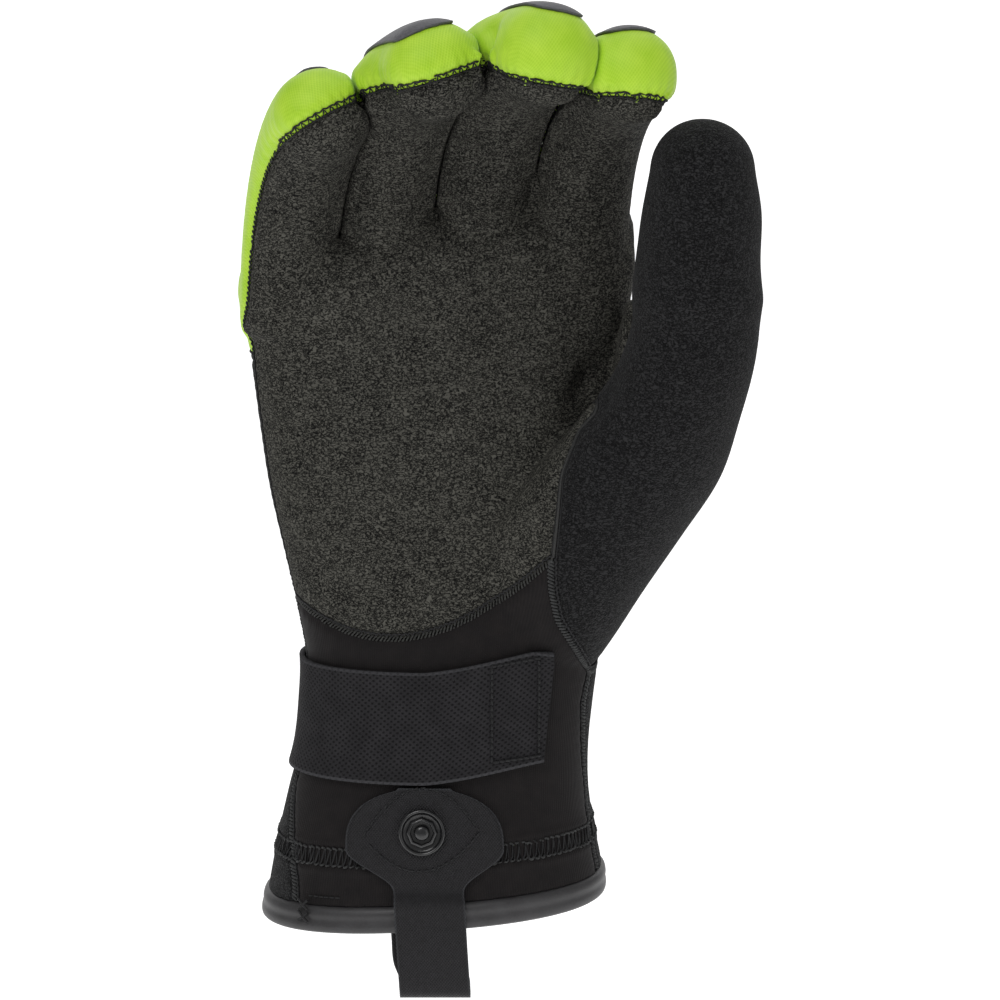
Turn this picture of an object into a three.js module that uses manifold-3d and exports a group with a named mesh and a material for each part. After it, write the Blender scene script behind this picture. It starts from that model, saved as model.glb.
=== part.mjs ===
// A right-hand water rescue glove in 3 mm neoprene, shown as a hand fills it: palm towards -Y,
// fingers up and curled forward, cuff mouth open below. Millimetres, +Z up.
// The origin is the centre of the wrist, where the hand that wears the glove holds it up.
import * as THREE from "three";
import { mergeVertices } from "three/addons/utils/BufferGeometryUtils.js";
import Module from "manifold-3d";

const wasm = await Module();
wasm.setup();

// Driving dimensions
const WALL = 3;
const SEAM = 0.3; // gap left between two panels along a seam
const CLEAR = 0.45; // gap under what lies on the panels
const SIDES = { // facets round each sleeve, on its skin and on its lining
  hand: [32, 24],
  finger: [14, 10],
  thumb: [16, 12],
};
const HAND_OVAL = 2.35; // exponents of the oval sections, where 2 is an ellipse
const THUMB_OVAL = 2.1;
const FINGER_OVAL = 0.92; // power of a finger's rounding, where 1 is an ellipse
const CURL_POWER = 1.5; // how late along a finger its curl comes
const WAIST = 0.2; // how much narrower a finger is behind its round tip
const MOUTH_RISE = 3.9; // degrees by which the cuff's mouth rises towards the thumb
const FAR = 120; // half the size of a cutting block
const OVERRUN = 14; // how far a cutting line, or the lining's mouth, runs past the piece it cuts
const PROUD = 0.35; // how far the cutter of a finger's palm half stands out from its skin

const SEAL = { top: -46.3, bottom: -53.5, proud: 0.9, inner: 3.5 };
// The strap runs from start to end, in degrees round the wrist, and rises by lift at its sewn end
const STRAP = {
  height: 30, thickness: 1.6, clear: 0.6, middle: 0, start: -52, end: -262,
  lift: 6.8, liftFrom: -5, liftSpan: 33, liftPower: 1.4,
};
const TAB = { thickness: 1.25, foldZ: -72.4, insideRows: [-38, -30] };
const SNAP = { x: -4.9, z: -27.1, flange: 6.2, tilt: 9 };
const PAD = { lift: 0.6, thickness: 0.9, squareness: 3 };
// Each pad runs from a share of its finger to an angle over the tip, and covers a half angle on each
// side of a middle, both in degrees round the finger from its thumb side
const PAD_PLACES = [
  { finger: "little", from: 0.58, dome: 2, middle: 66, halfAngle: 27 },
  { finger: "ring", from: 0.6, dome: 26, middle: 90, halfAngle: 37 },
  { finger: "middle", from: 0.6, dome: 25, middle: 87, halfAngle: 29 },
  { finger: "index", from: 0.6, dome: 24, middle: 96, halfAngle: 32 },
];

// Hand, wrist and cuff, one row for each level section, from the cuff's mouth up to the webs
const HAND = [
  { z: -53.5, left: -48.4, right: 43.9, front: -35.2, back: 35.2, rise: MOUTH_RISE },
  { z: -46.3, left: -47.3, right: 43.6, front: -34.4, back: 34.6, rise: MOUTH_RISE },
  { z: -36, left: -45.2, right: 41.8, front: -32.8, back: 32.8, rise: 2.5 },
  { z: -22, left: -41.8, right: 40.0, front: -30.3, back: 30.3, rise: 1 },
  { z: -9, left: -38.3, right: 40.0, front: -28.2, back: 28.6, rise: 0 },
  { z: 3, left: -37.0, right: 41.2, front: -27.0, back: 27.6, rise: 0 },
  { z: 14, left: -36.6, right: 42.6, front: -26.2, back: 27.0, rise: 0 },
  { z: 26, left: -38.6, right: 43.6, front: -25.0, back: 27.0, rise: 0 },
  { z: 42, left: -42.3, right: 45.2, front: -22.3, back: 27.4, rise: 0 },
  { z: 60, left: -46.4, right: 46.9, front: -19.0, back: 27.4, rise: 0 },
  { z: 78, left: -49.1, right: 48.6, front: -16.4, back: 26.8, rise: 0 },
  { z: 95, left: -51.2, right: 50.0, front: -14.2, back: 25.4, rise: 1 },
  { z: 108, left: -52.8, right: 51.0, front: -12.4, back: 23.6, rise: 3 },
  { z: 119, left: -53.4, right: 50.8, front: -10.6, back: 21.6, rise: 6 },
  { z: 127, left: -51.5, right: 49.4, front: -8.0, back: 19.0, rise: 8 },
  { z: 132, left: -46.0, right: 44.6, front: -3.5, back: 14.0, rise: 9 },
];

// Thumb, the same way, from its root inside the palm to where its round tip starts
const THUMB = [
  { z: 10, left: 10, right: 39.6, front: -18, back: 15, rise: 0 },
  { z: 20, left: 6, right: 46.4, front: -22.8, back: 17, rise: 0 },
  { z: 33, left: 4, right: 54.3, front: -26.8, back: 16, rise: 0 },
  { z: 49, left: 9, right: 64.4, front: -30.8, back: 11, rise: 0 },
  { z: 66, left: 23, right: 74.5, front: -35.4, back: 4, rise: 0 },
  { z: 83, left: 37, right: 79.4, front: -40, back: -4, rise: 0 },
  { z: 97, left: 46.4, right: 82.6, front: -43.5, back: -11, rise: 0 },
  { z: 107, left: 49.8, right: 83.9, front: -45.2, back: -14.5, rise: 0 },
  { z: 126, left: 52.4, right: 82.5, front: -47.2, back: -18.5, rise: 0 },
  { z: 139, left: 54.0, right: 82.6, front: -48.0, back: -20.5, rise: 0 },
  { z: 149.8, left: 56.0, right: 80.8, front: -47.6, back: -22.0, rise: 0 },
];
const THUMB_TIP = { length: 12.2, sections: [34, 66] };

// Fingers: root centre, and length to where the round tip starts. A finger leans towards the thumb as
// a whole and curls in a plane turned towards the thumb, in degrees. rootRoll and tipRoll are how far
// its back faces away from the thumb, and rootSeam and tipSeam are how far to the back of its middle
// the seam between palm and back runs.
const FINGERS = [
  { name: "little", x: -41.2, y: 3, z: 102, length: 72.5, curl: 66, lean: 0.5, turn: 19,
    rootRoll: 8, tipRoll: 24, rootWidth: 25.6, tipWidth: 25.4, depth: 25, tip: 11,
    rootSeam: -0.5, tipSeam: -2 },
  { name: "ring", x: -15.1, y: 5, z: 110, length: 87.5, curl: 86, lean: -1, turn: 20,
    rootRoll: 0, tipRoll: 15, rootWidth: 25.4, tipWidth: 26.6, depth: 25.5, tip: 12,
    rootSeam: 2.5, tipSeam: -1.5 },
  { name: "middle", x: 10.8, y: 5, z: 112, length: 95, curl: 92, lean: -0.5, turn: 20.5,
    rootRoll: 0, tipRoll: -11, rootWidth: 25.4, tipWidth: 26.4, depth: 26, tip: 12.5,
    rootSeam: 2.5, tipSeam: -7.5 },
  { name: "index", x: 36.3, y: 4, z: 108, length: 85.5, curl: 80, lean: 1, turn: 17,
    rootRoll: 0, tipRoll: -6, rootWidth: 27, tipWidth: 24.4, depth: 25, tip: 12,
    rootSeam: 4, tipSeam: -7 },
];
// Shares of a finger's length at which it has a section, and the same on its round tip, in degrees,
// on its skin and on its lining
const FINGER_SECTIONS = [[0, 0.25, 0.45, 0.62, 0.78, 0.9, 1], [0, 0.35, 0.6, 0.8, 1]];
const TIP_SECTIONS = [[34, 64], [40, 72]];
const TIP_CUTS = [0.5, 0.8, 0.98]; // parts of the way round the tip at which its cutter has a section

// Seam lines seen from the palm, as points (x, z)
const PALM_HEEL = [[-37.9, 30], [-17.3, 23.6], [29.9, 46.5]];
const BACK_EDGE = [[-54, 97], [0, 83], [52, 99]];
const THUMB_SEAM = [
  [40, 6], [40.2, 13.2], [36.7, 20.4], [31.8, 29], [30, 38], [29.9, 46], [30.9, 57], [31.7, 69],
  [35.7, 80.5], [39.8, 86], [43, 92], [45.6, 98], [48.6, 106], [50.6, 113], [51.8, 120],
  [52.6, 134], [54.4, 148], [60, 160],
];
const THUMB_CUT = { from: 4, to: 175 };
// Where the palm side meets the back, by height: depth of the seam at each edge of the hand. Between
// the fingers it runs at the depth of the web.
const WEB_SEAM = { depth: 6, edge: 30, side: 47 };
const SIDE_SEAM = [
  { z: -90, little: -17, thumb: -9 },
  { z: -46, little: -16, thumb: -9 },
  { z: -20, little: -11, thumb: -8 },
  { z: 4, little: -4, thumb: -7 },
  { z: 24, little: 1, thumb: -5 },
  { z: 88, little: 1, thumb: 4 },
  { z: 104, little: -4.5, thumb: 7 },
  { z: 138, little: -5.5, thumb: 4 },
];
// The pull tab's outline on the cuff, from under the strap down to the hanging loop
const TAB_ROWS = [
  { z: -15.7, left: -13.6, right: 6.8 },
  { z: -18.5, left: -17.2, right: 9.8 },
  { z: -22.2, left: -21.1, right: 13.0 },
  { z: -27.9, left: -24.3, right: 15.8 },
  { z: -33, left: -25.3, right: 16.9 },
  { z: -36.2, left: -24.4, right: 15.0 },
  { z: -38.4, left: -20.8, right: 10.0 },
  { z: -40.9, left: -14.5, right: 6.8 },
  { z: -43.4, left: -12.6, right: 6.4 },
];
const TAB_STRAP = { width: 18.9, topX: -3.1, bottomX: -1.4 };
// Its strap below that, outside and then inside the cuff: how far behind the seal's face, or the
// cuff's inner face, each row lies, and how much of the cuff's round it follows
const TAB_FRONT = [
  { z: -46, behind: 0, bow: 1 },
  { z: -50, behind: -0.1, bow: 1 },
  { z: -54, behind: -0.1, bow: 0.7 },
  { z: -60, behind: 0.3, bow: 0.3 },
  { z: -66, behind: 0.9, bow: 0 },
  { z: -70.2, behind: 1.4, bow: 0 },
];
const TAB_BACK = [
  { z: -69.6, behind: 0.3, bow: 0 },
  { z: -64, behind: 1.2, bow: 0 },
  { z: -57, behind: 1.3, bow: 0.3 },
  { z: -52, behind: 1, bow: 1 },
  { z: -46, behind: 0.8, bow: 1 },
];

const deg = THREE.MathUtils.degToRad;
const lerp = THREE.MathUtils.lerp;
const sum = (solids) => solids.reduce((a, b) => a.add(b));
const power = (value, exponent) => Math.sign(value) * Math.abs(value) ** exponent;

function solidOf(geometry) {
  const bare = geometry.clone();
  bare.deleteAttribute("normal");
  bare.deleteAttribute("uv");
  const merged = mergeVertices(bare, 1e-4);
  return new wasm.Manifold(new wasm.Mesh({
    numProp: 3,
    vertProperties: merged.attributes.position.array,
    triVerts: new Uint32Array(merged.index.array),
  }));
}

function geometryOf(solid) {
  const mesh = solid.getMesh();
  const geometry = new THREE.BufferGeometry();
  geometry.setAttribute("position", new THREE.BufferAttribute(mesh.vertProperties, 3));
  geometry.setIndex(new THREE.BufferAttribute(mesh.triVerts, 1));
  geometry.computeVertexNormals();
  return geometry;
}

// The main body of a cut solid, without the crumbs that a seam cuts off
function largest(solid) {
  return solid.decompose().reduce((a, b) => (a.volume() > b.volume() ? a : b));
}

// A closed solid through rings of points, each ring turning the same way about the way it travels
function loft(rings) {
  const count = rings[0].length;
  const points = rings.flat();
  const faces = [];
  for (let k = 0; k + 1 < rings.length; k++)
    for (let i = 0; i < count; i++) {
      const a = k * count + i;
      const b = k * count + ((i + 1) % count);
      faces.push(a, b, b + count, a, b + count, a + count);
    }
  const addCap = (ring, first, flip) => {
    const centre = ring.reduce((c, p) => c.add(p), new THREE.Vector3()).divideScalar(count);
    points.push(centre);
    for (let i = 0; i < count; i++) {
      const pair = [first + i, first + ((i + 1) % count)];
      if (flip) pair.reverse();
      faces.push(points.length - 1, ...pair);
    }
  };
  addCap(rings[0], 0, true);
  addCap(rings.at(-1), (rings.length - 1) * count, false);
  const geometry = new THREE.BufferGeometry().setFromPoints(points).setIndex(faces);
  return solidOf(geometry);
}

// A sheet as a closed solid through pointAt(row, column, side), where side is 0 on its near face and
// 1 on its far one
function plate(rowCount, columnCount, pointAt) {
  const rings = [];
  for (let row = 0; row < rowCount; row++) {
    const ring = [];
    for (let c = 0; c < columnCount; c++) ring.push(pointAt(row, c, 0));
    for (let c = columnCount - 1; c >= 0; c--) ring.push(pointAt(row, c, 1));
    rings.push(ring);
  }
  const made = loft(rings);
  return made.volume() > 0 ? made : loft(rings.map((ring) => ring.toReversed()));
}

function rowAt(table, z) {
  const last = table.length - 2;
  let k = table.findIndex((row) => row.z > z) - 1;
  if (k < 0) k = z < table[0].z ? 0 : last;
  const a = table[k];
  const b = table[k + 1];
  const share = (z - a.z) / (b.z - a.z);
  const mixed = {};
  for (const key of Object.keys(a)) mixed[key] = lerp(a[key], b[key], share);
  return mixed;
}

// One point of an oval section, taken in by inset
function ovalPoint(row, angle, inset, oval) {
  const middle = (row.left + row.right) / 2;
  const halfWidth = (row.right - row.left) / 2 - inset;
  const halfDepth = (row.back - row.front) / 2 - inset;
  const x = halfWidth * power(Math.cos(angle), 2 / oval);
  const y = halfDepth * power(Math.sin(angle), 2 / oval);
  const z = row.z + x * Math.tan(deg(row.rise));
  return new THREE.Vector3(middle + x, (row.front + row.back) / 2 + y, z);
}

function ovalRing(row, sides, inset, oval = HAND_OVAL) {
  return Array.from({ length: sides }, (_, i) =>
    ovalPoint(row, (i / sides) * 2 * Math.PI, inset, oval));
}

// Depth of the palm face of the thumb's root at (x, z), moved out by offset, or none beside it
function thumbFace(x, z, offset) {
  const row = rowAt(THUMB, z);
  const halfWidth = (row.right - row.left) / 2 + offset;
  const halfDepth = (row.back - row.front) / 2 + offset;
  const across = Math.abs(x - (row.left + row.right) / 2) / halfWidth;
  if (z < THUMB[0].z || across >= 1) return Infinity;
  return (row.front + row.back) / 2 - halfDepth * (1 - across ** THUMB_OVAL) ** (1 / THUMB_OVAL);
}

// Depth of the hand's palm face at (x, z), moved out by offset
function palmFace(x, z, offset) {
  const row = rowAt(HAND, z);
  const middle = (row.left + row.right) / 2;
  const halfWidth = (row.right - row.left) / 2 + offset;
  const halfDepth = (row.back - row.front) / 2 + offset;
  const across = Math.min(1, Math.abs((x - middle) / halfWidth));
  return (row.front + row.back) / 2 - halfDepth * (1 - across ** HAND_OVAL) ** (1 / HAND_OVAL);
}

function handSolid(inset) {
  const ringOf = (row) => ovalRing(row, SIDES.hand[inset > 0 ? 1 : 0], inset);
  if (inset === 0) return loft(HAND.slice(1).map(ringOf));
  const rings = HAND.filter((_, i) => i % 2 === 0 || i === HAND.length - 1).map(ringOf);
  rings.unshift(ringOf({ ...HAND[0], z: HAND[0].z - OVERRUN }));
  for (const p of rings.at(-1)) p.z -= inset;
  return loft(rings);
}

function thumbSolid(inset) {
  const ringOf = (row) => ovalRing(row, SIDES.thumb[inset > 0 ? 1 : 0], inset, THUMB_OVAL);
  const rings = THUMB.map(ringOf);
  if (inset < 0) rings.unshift(ringOf({ ...THUMB[0], z: THUMB[0].z + inset }));
  const top = THUMB.at(-1);
  const centre = new THREE.Vector3((top.left + top.right) / 2, (top.front + top.back) / 2, top.z);
  for (const polar of THUMB_TIP.sections) {
    const ring = ringOf(top);
    for (const p of ring) {
      p.sub(centre).multiplyScalar(Math.cos(deg(polar))).add(centre);
      p.z = top.z + (THUMB_TIP.length - inset) * Math.sin(deg(polar));
    }
    rings.push(ring);
  }
  return loft(rings);
}

// A finger's centre and axes at share 0 to 1 of its length
function fingerFrame(finger, share) {
  const steps = 30;
  const lean = new THREE.Matrix4().makeRotationY(deg(finger.lean));
  const plane = lean.multiply(new THREE.Matrix4().makeRotationZ(deg(finger.turn)));
  const headingAt = (at) => {
    const curl = deg(finger.curl) * Math.max(0, at) ** CURL_POWER;
    return new THREE.Vector3(0, -Math.sin(curl), Math.cos(curl)).applyMatrix4(plane);
  };
  const centre = new THREE.Vector3(finger.x, finger.y, finger.z);
  for (let i = 0; i < steps; i++)
    centre.addScaledVector(headingAt((share * (i + 0.5)) / steps), (finger.length * share) / steps);
  const along = headingAt(share);
  const across = new THREE.Vector3(1, 0, 0).applyMatrix4(plane);
  across.applyAxisAngle(along, deg(lerp(finger.rootRoll, finger.tipRoll, Math.max(0, share))));
  const dorsal = new THREE.Vector3().crossVectors(along, across);
  return { centre, along, across, dorsal };
}

function fingerWidth(finger, share) {
  const even = lerp(finger.rootWidth, finger.tipWidth, share);
  return even - WAIST * Math.sin(Math.PI * THREE.MathUtils.clamp(share, 0, 1)) ** 2;
}

// A point of a finger's skin: share runs along it, polar (degrees) goes on over its round tip, and
// angle goes round it from the thumb side over the back
function fingerPoint(finger, share, polar, angle, offset) {
  const { centre, along, across, dorsal } = fingerFrame(finger, share);
  const shrink = Math.cos(deg(polar));
  const halfWidth = (fingerWidth(finger, share) / 2 + offset) * shrink;
  const halfDepth = (finger.depth / 2 + offset) * shrink;
  return centre
    .addScaledVector(across, halfWidth * power(Math.cos(angle), FINGER_OVAL))
    .addScaledVector(dorsal, halfDepth * power(Math.sin(angle), FINGER_OVAL))
    .addScaledVector(along, (finger.tip + offset) * Math.sin(deg(polar)));
}

function fingerSolid(finger, inset) {
  const layer = inset > 0 ? 1 : 0;
  const sides = SIDES.finger[layer];
  const sections = FINGER_SECTIONS[layer].map((share) => [share, 0]);
  sections.push(...TIP_SECTIONS[layer].map((polar) => [1, polar]));
  return loft(sections.map(([share, polar]) => Array.from({ length: sides }, (_, i) =>
    fingerPoint(finger, share, polar, (i / sides) * 2 * Math.PI, -inset))));
}

// The palm half of a finger, to its side seam and round its tip. grow moves the cut outwards.
function fingerFront(finger, grow) {
  const sides = 10;
  const offset = PROUD + grow;
  const seamAt = (share) => lerp(finger.rootSeam, finger.tipSeam, Math.max(0, share) ** 3) + grow;
  const tipReach = Math.acos(Math.max(0.1, -seamAt(1) / (finger.depth / 2)));
  const sections = [-0.05, ...FINGER_SECTIONS[0].slice(1)].map((share) => [share, 0]);
  sections.push(...TIP_CUTS.map((part) => [1, THREE.MathUtils.radToDeg(part * tipReach)]));
  return loft(sections.map(([share, polar]) => {
    const shrink = Math.cos(deg(polar));
    const halfDepth = (finger.depth / 2 + offset) * shrink;
    const edge = Math.asin(power(Math.min(1, -seamAt(share) / halfDepth), 1 / FINGER_OVAL));
    return Array.from({ length: sides + 1 }, (_, i) => {
      const angle = lerp(Math.PI + edge, 2 * Math.PI - edge, i / sides);
      return fingerPoint(finger, share, polar, angle, offset);
    });
  }));
}

// Everything on the palm side of the hand's two side seams
function handFront(grow) {
  const front = loft(SIDE_SEAM.map(({ z, little, thumb }) => [
    [-FAR, -FAR], [FAR, -FAR], [FAR, thumb + grow], [WEB_SEAM.side, thumb + grow],
    [WEB_SEAM.edge, WEB_SEAM.depth + grow], [-WEB_SEAM.edge, WEB_SEAM.depth + grow],
    [-WEB_SEAM.side, little + grow], [-FAR, little + grow],
  ].map(([x, y]) => new THREE.Vector3(x, y, z))));
  return sum([front, ...FINGERS.map((finger) => fingerFront(finger, grow))]);
}

// A block cut to an outline of points (x, z) seen from the palm, through the whole glove
function through(outline) {
  const shape = new THREE.Shape(outline.map(([x, z]) => new THREE.Vector2(x, z)));
  const block = new THREE.ExtrudeGeometry(shape, { depth: 2 * FAR, bevelEnabled: false });
  return solidOf(block.rotateX(Math.PI / 2).translate(0, FAR, 0));
}

// A smooth line through three points, carried on past its ends, as points (x, z)
function seamCurve(points, shift) {
  const steps = 24;
  const curve = [];
  const [[x0, z0], [x1, z1], [x2, z2]] = points;
  for (let i = 0; i <= steps; i++) {
    const x = lerp(x0 - OVERRUN, x2 + OVERRUN, i / steps);
    const z = (z0 * (x - x1) * (x - x2)) / ((x0 - x1) * (x0 - x2))
      + (z1 * (x - x0) * (x - x2)) / ((x1 - x0) * (x1 - x2))
      + (z2 * (x - x0) * (x - x1)) / ((x2 - x0) * (x2 - x1));
    curve.push([x, z + shift]);
  }
  return curve;
}

function below(points, shift) {
  const curve = seamCurve(points, shift);
  return through([[-FAR, -FAR], [FAR, -FAR], [FAR, curve.at(-1)[1]], ...curve.toReversed(),
    [-FAR, curve[0][1]]]);
}

// The thumb and its root, right of the seam that runs down beside the palm
function thumbRegion(grow) {
  const line = THUMB_SEAM.map(([x, z]) => [x - grow, z]);
  const top = [line.at(-1)[0], THUMB_CUT.to];
  const right = through([[FAR, THUMB_CUT.from], ...line, top, [FAR, THUMB_CUT.to]]);
  return thumbSolid(-1 - grow).intersect(right);
}

function sealSolid() {
  const profile = [
    { z: SEAL.bottom, inset: 0.8 }, { z: SEAL.bottom + 1.4, inset: -SEAL.proud },
    { z: SEAL.top - 1.6, inset: -SEAL.proud }, { z: SEAL.top - SEAM, inset: -0.3 },
  ];
  const ringAt = (z, inset) =>
    ovalRing({ ...rowAt(HAND, Math.max(z, HAND[0].z)), z, rise: MOUTH_RISE }, SIDES.hand[0], inset);
  const outer = loft(profile.map(({ z, inset }) => ringAt(z, inset)));
  const inner = loft([SEAL.bottom - 4, SEAL.top + 2].map((z) => ringAt(z, SEAL.inner)));
  return outer.subtract(inner);
}

// The elastic wrist strap: sewn down on the palm side, then round the little-finger side to the back
function strapSolid() {
  const columns = 24;
  const rows = 5;
  return plate(columns, rows, (c, r, side) => {
    const angle = deg(lerp(STRAP.start, STRAP.end, c / (columns - 1)));
    const level = STRAP.middle + STRAP.height * (r / (rows - 1) - 0.5);
    const outward = STRAP.clear + side * STRAP.thickness;
    const onCuff = (z) => ovalPoint({ ...rowAt(HAND, z), rise: 0 }, angle, -outward, HAND_OVAL);
    const frontShare = Math.max(0, -Math.sin(angle));
    const sewnShare = Math.max(0, (onCuff(level).x - STRAP.liftFrom) / STRAP.liftSpan);
    const point = onCuff(level + STRAP.lift * frontShare * sewnShare ** STRAP.liftPower);
    if (frontShare > 0) point.y = Math.min(point.y, thumbFace(point.x, point.z, outward));
    return point;
  });
}

// The pull tab: its broad end lies on the cuff, its strap hangs over the seal, folds and goes back up
// inside the cuff
function tabSolid() {
  const columns = 5;
  const t = TAB.thickness;
  const neck = TAB_ROWS.at(-1);
  const sealFace = (x) => palmFace(x, SEAL.top, CLEAR + SEAL.proud);
  const strapRow = (z, y, bow) => {
    const x = lerp(TAB_STRAP.topX, TAB_STRAP.bottomX, (z - neck.z) / (TAB.foldZ - neck.z));
    const faceAt = (at) => y + bow * (sealFace(at) - sealFace(x));
    return { left: x - TAB_STRAP.width / 2, right: x + TAB_STRAP.width / 2, z, faceAt };
  };
  const outside = palmFace(TAB_STRAP.topX, SEAL.bottom + 2, CLEAR + SEAL.proud);
  const inside = palmFace(TAB_STRAP.topX, SEAL.top, -SEAL.inner) + CLEAR;
  const broad = TAB_ROWS.map((row) => ({ ...row, faceAt: (x) => palmFace(x, row.z, CLEAR) }));
  const front = TAB_FRONT.map(({ z, behind, bow }) => strapRow(z, outside + behind, bow));
  const back = TAB_BACK.map(({ z, behind, bow }) => strapRow(z, inside + behind, bow));
  const inCuff = TAB.insideRows.map((z) =>
    ({ ...strapRow(z, 0, 0), faceAt: (x) => palmFace(x, z, -WALL - CLEAR) }));

  const foldFront = front.at(-1).faceAt(0);
  const foldBack = back[0].faceAt(0);
  const middle = (foldFront + foldBack) / 2;
  const radius = (foldBack - foldFront) / 2;
  const fold = [45, 90, 135].map((turn) => ({ ...strapRow(TAB.foldZ + radius + t, 0, 0), turn }));
  const path = [...broad, ...front, ...fold, ...back, ...inCuff];
  const foldAt = broad.length + front.length;
  return plate(path.length, columns, (r, c, side) => {
    const row = path[r];
    const x = lerp(row.left, row.right, c / (columns - 1));
    if (row.turn !== undefined) {
      const reach = radius + side * t;
      const y = middle - reach * Math.cos(deg(row.turn));
      return new THREE.Vector3(x, y, row.z - reach * Math.sin(deg(row.turn)));
    }
    const outward = r < foldAt ? -side * t : side * t;
    return new THREE.Vector3(x, row.faceAt(x) + outward, row.z);
  });
}

// Snap stud: flange with a raised rim, an eight-sided collar and a flat-topped post, as outlines of
// points (radius, height)
function snapSolid() {
  const ring = (points, sides) => solidOf(new THREE.LatheGeometry(
    points.map(([r, h]) => new THREE.Vector2(r, h)), sides));
  const flange = ring([
    [0, 0], [SNAP.flange, 0], [SNAP.flange, 0.9], [SNAP.flange - 0.35, 1.25],
    [SNAP.flange - 0.9, 1.25], [SNAP.flange - 1.3, 0.6], [0, 0.6],
  ], 20);
  const collar = ring([[3, 0.4], [4.15, 0.4], [4.15, 1.5], [3.7, 1.9], [3.15, 1.8], [3, 1.4], [3, 0.4]], 8);
  const post = ring([[0, 0.4], [2.1, 0.4], [2.1, 1.6], [1.7, 2.3], [1.1, 2.5], [0, 2.5]], 12);
  return sum([flange, collar, post]);
}

// A smooth patch over the back of a fingertip
function padSolid(finger) {
  const place = PAD_PLACES.find((row) => row.finger === finger.name);
  const rows = 7;
  const columns = 6;
  return plate(rows, columns, (r, c, side) => {
    const at = r / (rows - 1);
    const reach = lerp(place.from, 1 + place.dome / 90, at);
    const share = Math.min(1, reach);
    const polar = Math.max(0, reach - 1) * 90;
    const roundEnds = Math.sqrt(Math.max(0.08, 1 - Math.abs(2 * at - 1) ** PAD.squareness));
    const half = place.halfAngle * roundEnds;
    const angle = deg(place.middle + half * (1 - (2 * c) / (columns - 1)));
    return fingerPoint(finger, share, polar, angle, PAD.lift + side * PAD.thickness);
  });
}

const outer = sum([handSolid(0), thumbSolid(0), ...FINGERS.map((f) => fingerSolid(f, 0))]);
const inner = sum([handSolid(WALL), thumbSolid(WALL), ...FINGERS.map((f) => fingerSolid(f, WALL))]);
const shell = outer.subtract(inner);

const half = SEAM / 2;
const body = shell.subtract(thumbRegion(half));
const palmSide = body.intersect(handFront(-half));
const backSide = body.subtract(handFront(half));

const FINISH = {
  grip: { color: 0x3a3a38, roughness: 0.85 },
  lime: { color: 0xa6e22e, roughness: 0.6 },
  plush: { color: 0x17171a, roughness: 0.95 },
  smooth: { color: 0x1c1a1a, roughness: 0.7 },
  seal: { color: 0x38373a, roughness: 0.45 },
  web: { color: 0x1d1d1e, roughness: 0.8 },
  coated: { color: 0x232326, roughness: 0.6 },
  snap: { color: 0x111113, roughness: 0.35 },
  pad: { color: 0x3c3c40, roughness: 0.4 },
};

const glove = new THREE.Group();

function addPiece(name, solid, finish) {
  const material = new THREE.MeshStandardMaterial({ metalness: 0, ...FINISH[finish] });
  const mesh = new THREE.Mesh(geometryOf(largest(solid)), material);
  mesh.name = name;
  glove.add(mesh);
  return mesh;
}

addPiece("palm_panel", palmSide.subtract(below(PALM_HEEL, half)), "grip");
addPiece("cuff_panel", palmSide.intersect(below(PALM_HEEL, -half)), "smooth");
addPiece("back_panel", backSide.subtract(below(BACK_EDGE, half)), "lime");
addPiece("back_cuff_panel", backSide.intersect(below(BACK_EDGE, -half)), "plush");
addPiece("thumb_panel", shell.intersect(thumbRegion(-half)), "plush");
addPiece("rim_seal", sealSolid(), "seal");
addPiece("wrist_strap", strapSolid(), "web");
addPiece("pull_tab", tabSolid(), "coated");
const snap = addPiece("snap_stud", snapSolid(), "snap");
snap.rotation.x = Math.PI - deg(SNAP.tilt);
snap.position.set(SNAP.x, palmFace(SNAP.x, SNAP.z, CLEAR + TAB.thickness + SEAM), SNAP.z);
for (const finger of FINGERS) addPiece(`${finger.name}_pad`, padSolid(finger), "pad");

export default glove;
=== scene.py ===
"""Water rescue glove for a right hand, as a Blender add-on: neoprene panels on a curled hand form,
with their seams, wrist strap, pull tab, snap stud and fingertip pads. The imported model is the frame."""
import math

import bpy
import numpy as np
from mathutils import Matrix, Vector
from mathutils.bvhtree import BVHTree
from mathutils.kdtree import KDTree


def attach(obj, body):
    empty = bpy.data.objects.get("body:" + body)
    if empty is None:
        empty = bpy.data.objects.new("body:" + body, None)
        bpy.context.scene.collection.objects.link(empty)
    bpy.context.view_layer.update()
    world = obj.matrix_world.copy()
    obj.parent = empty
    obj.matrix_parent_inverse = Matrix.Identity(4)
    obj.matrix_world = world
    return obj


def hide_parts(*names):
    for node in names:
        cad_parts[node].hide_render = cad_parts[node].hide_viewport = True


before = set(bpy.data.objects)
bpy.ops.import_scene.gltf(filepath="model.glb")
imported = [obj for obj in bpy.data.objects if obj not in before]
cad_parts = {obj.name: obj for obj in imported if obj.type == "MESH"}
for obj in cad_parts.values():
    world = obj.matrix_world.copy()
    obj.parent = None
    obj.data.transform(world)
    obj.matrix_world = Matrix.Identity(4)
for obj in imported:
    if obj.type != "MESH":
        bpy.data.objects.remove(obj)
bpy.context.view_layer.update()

bl_info = {
    "name": "Water Rescue Glove",
    "version": (1, 0, 0),
    "blender": (4, 5, 0),
    "location": "3D View > Sidebar > Glove",
    "description": "Models a curled neoprene water rescue glove piece by piece",
    "category": "Add Mesh",
}

MM = 0.001


def table(columns, rows):
    """Rows of numbers as arrays by column name."""
    return dict(zip(columns.split(), np.array(rows, float).T))


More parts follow.
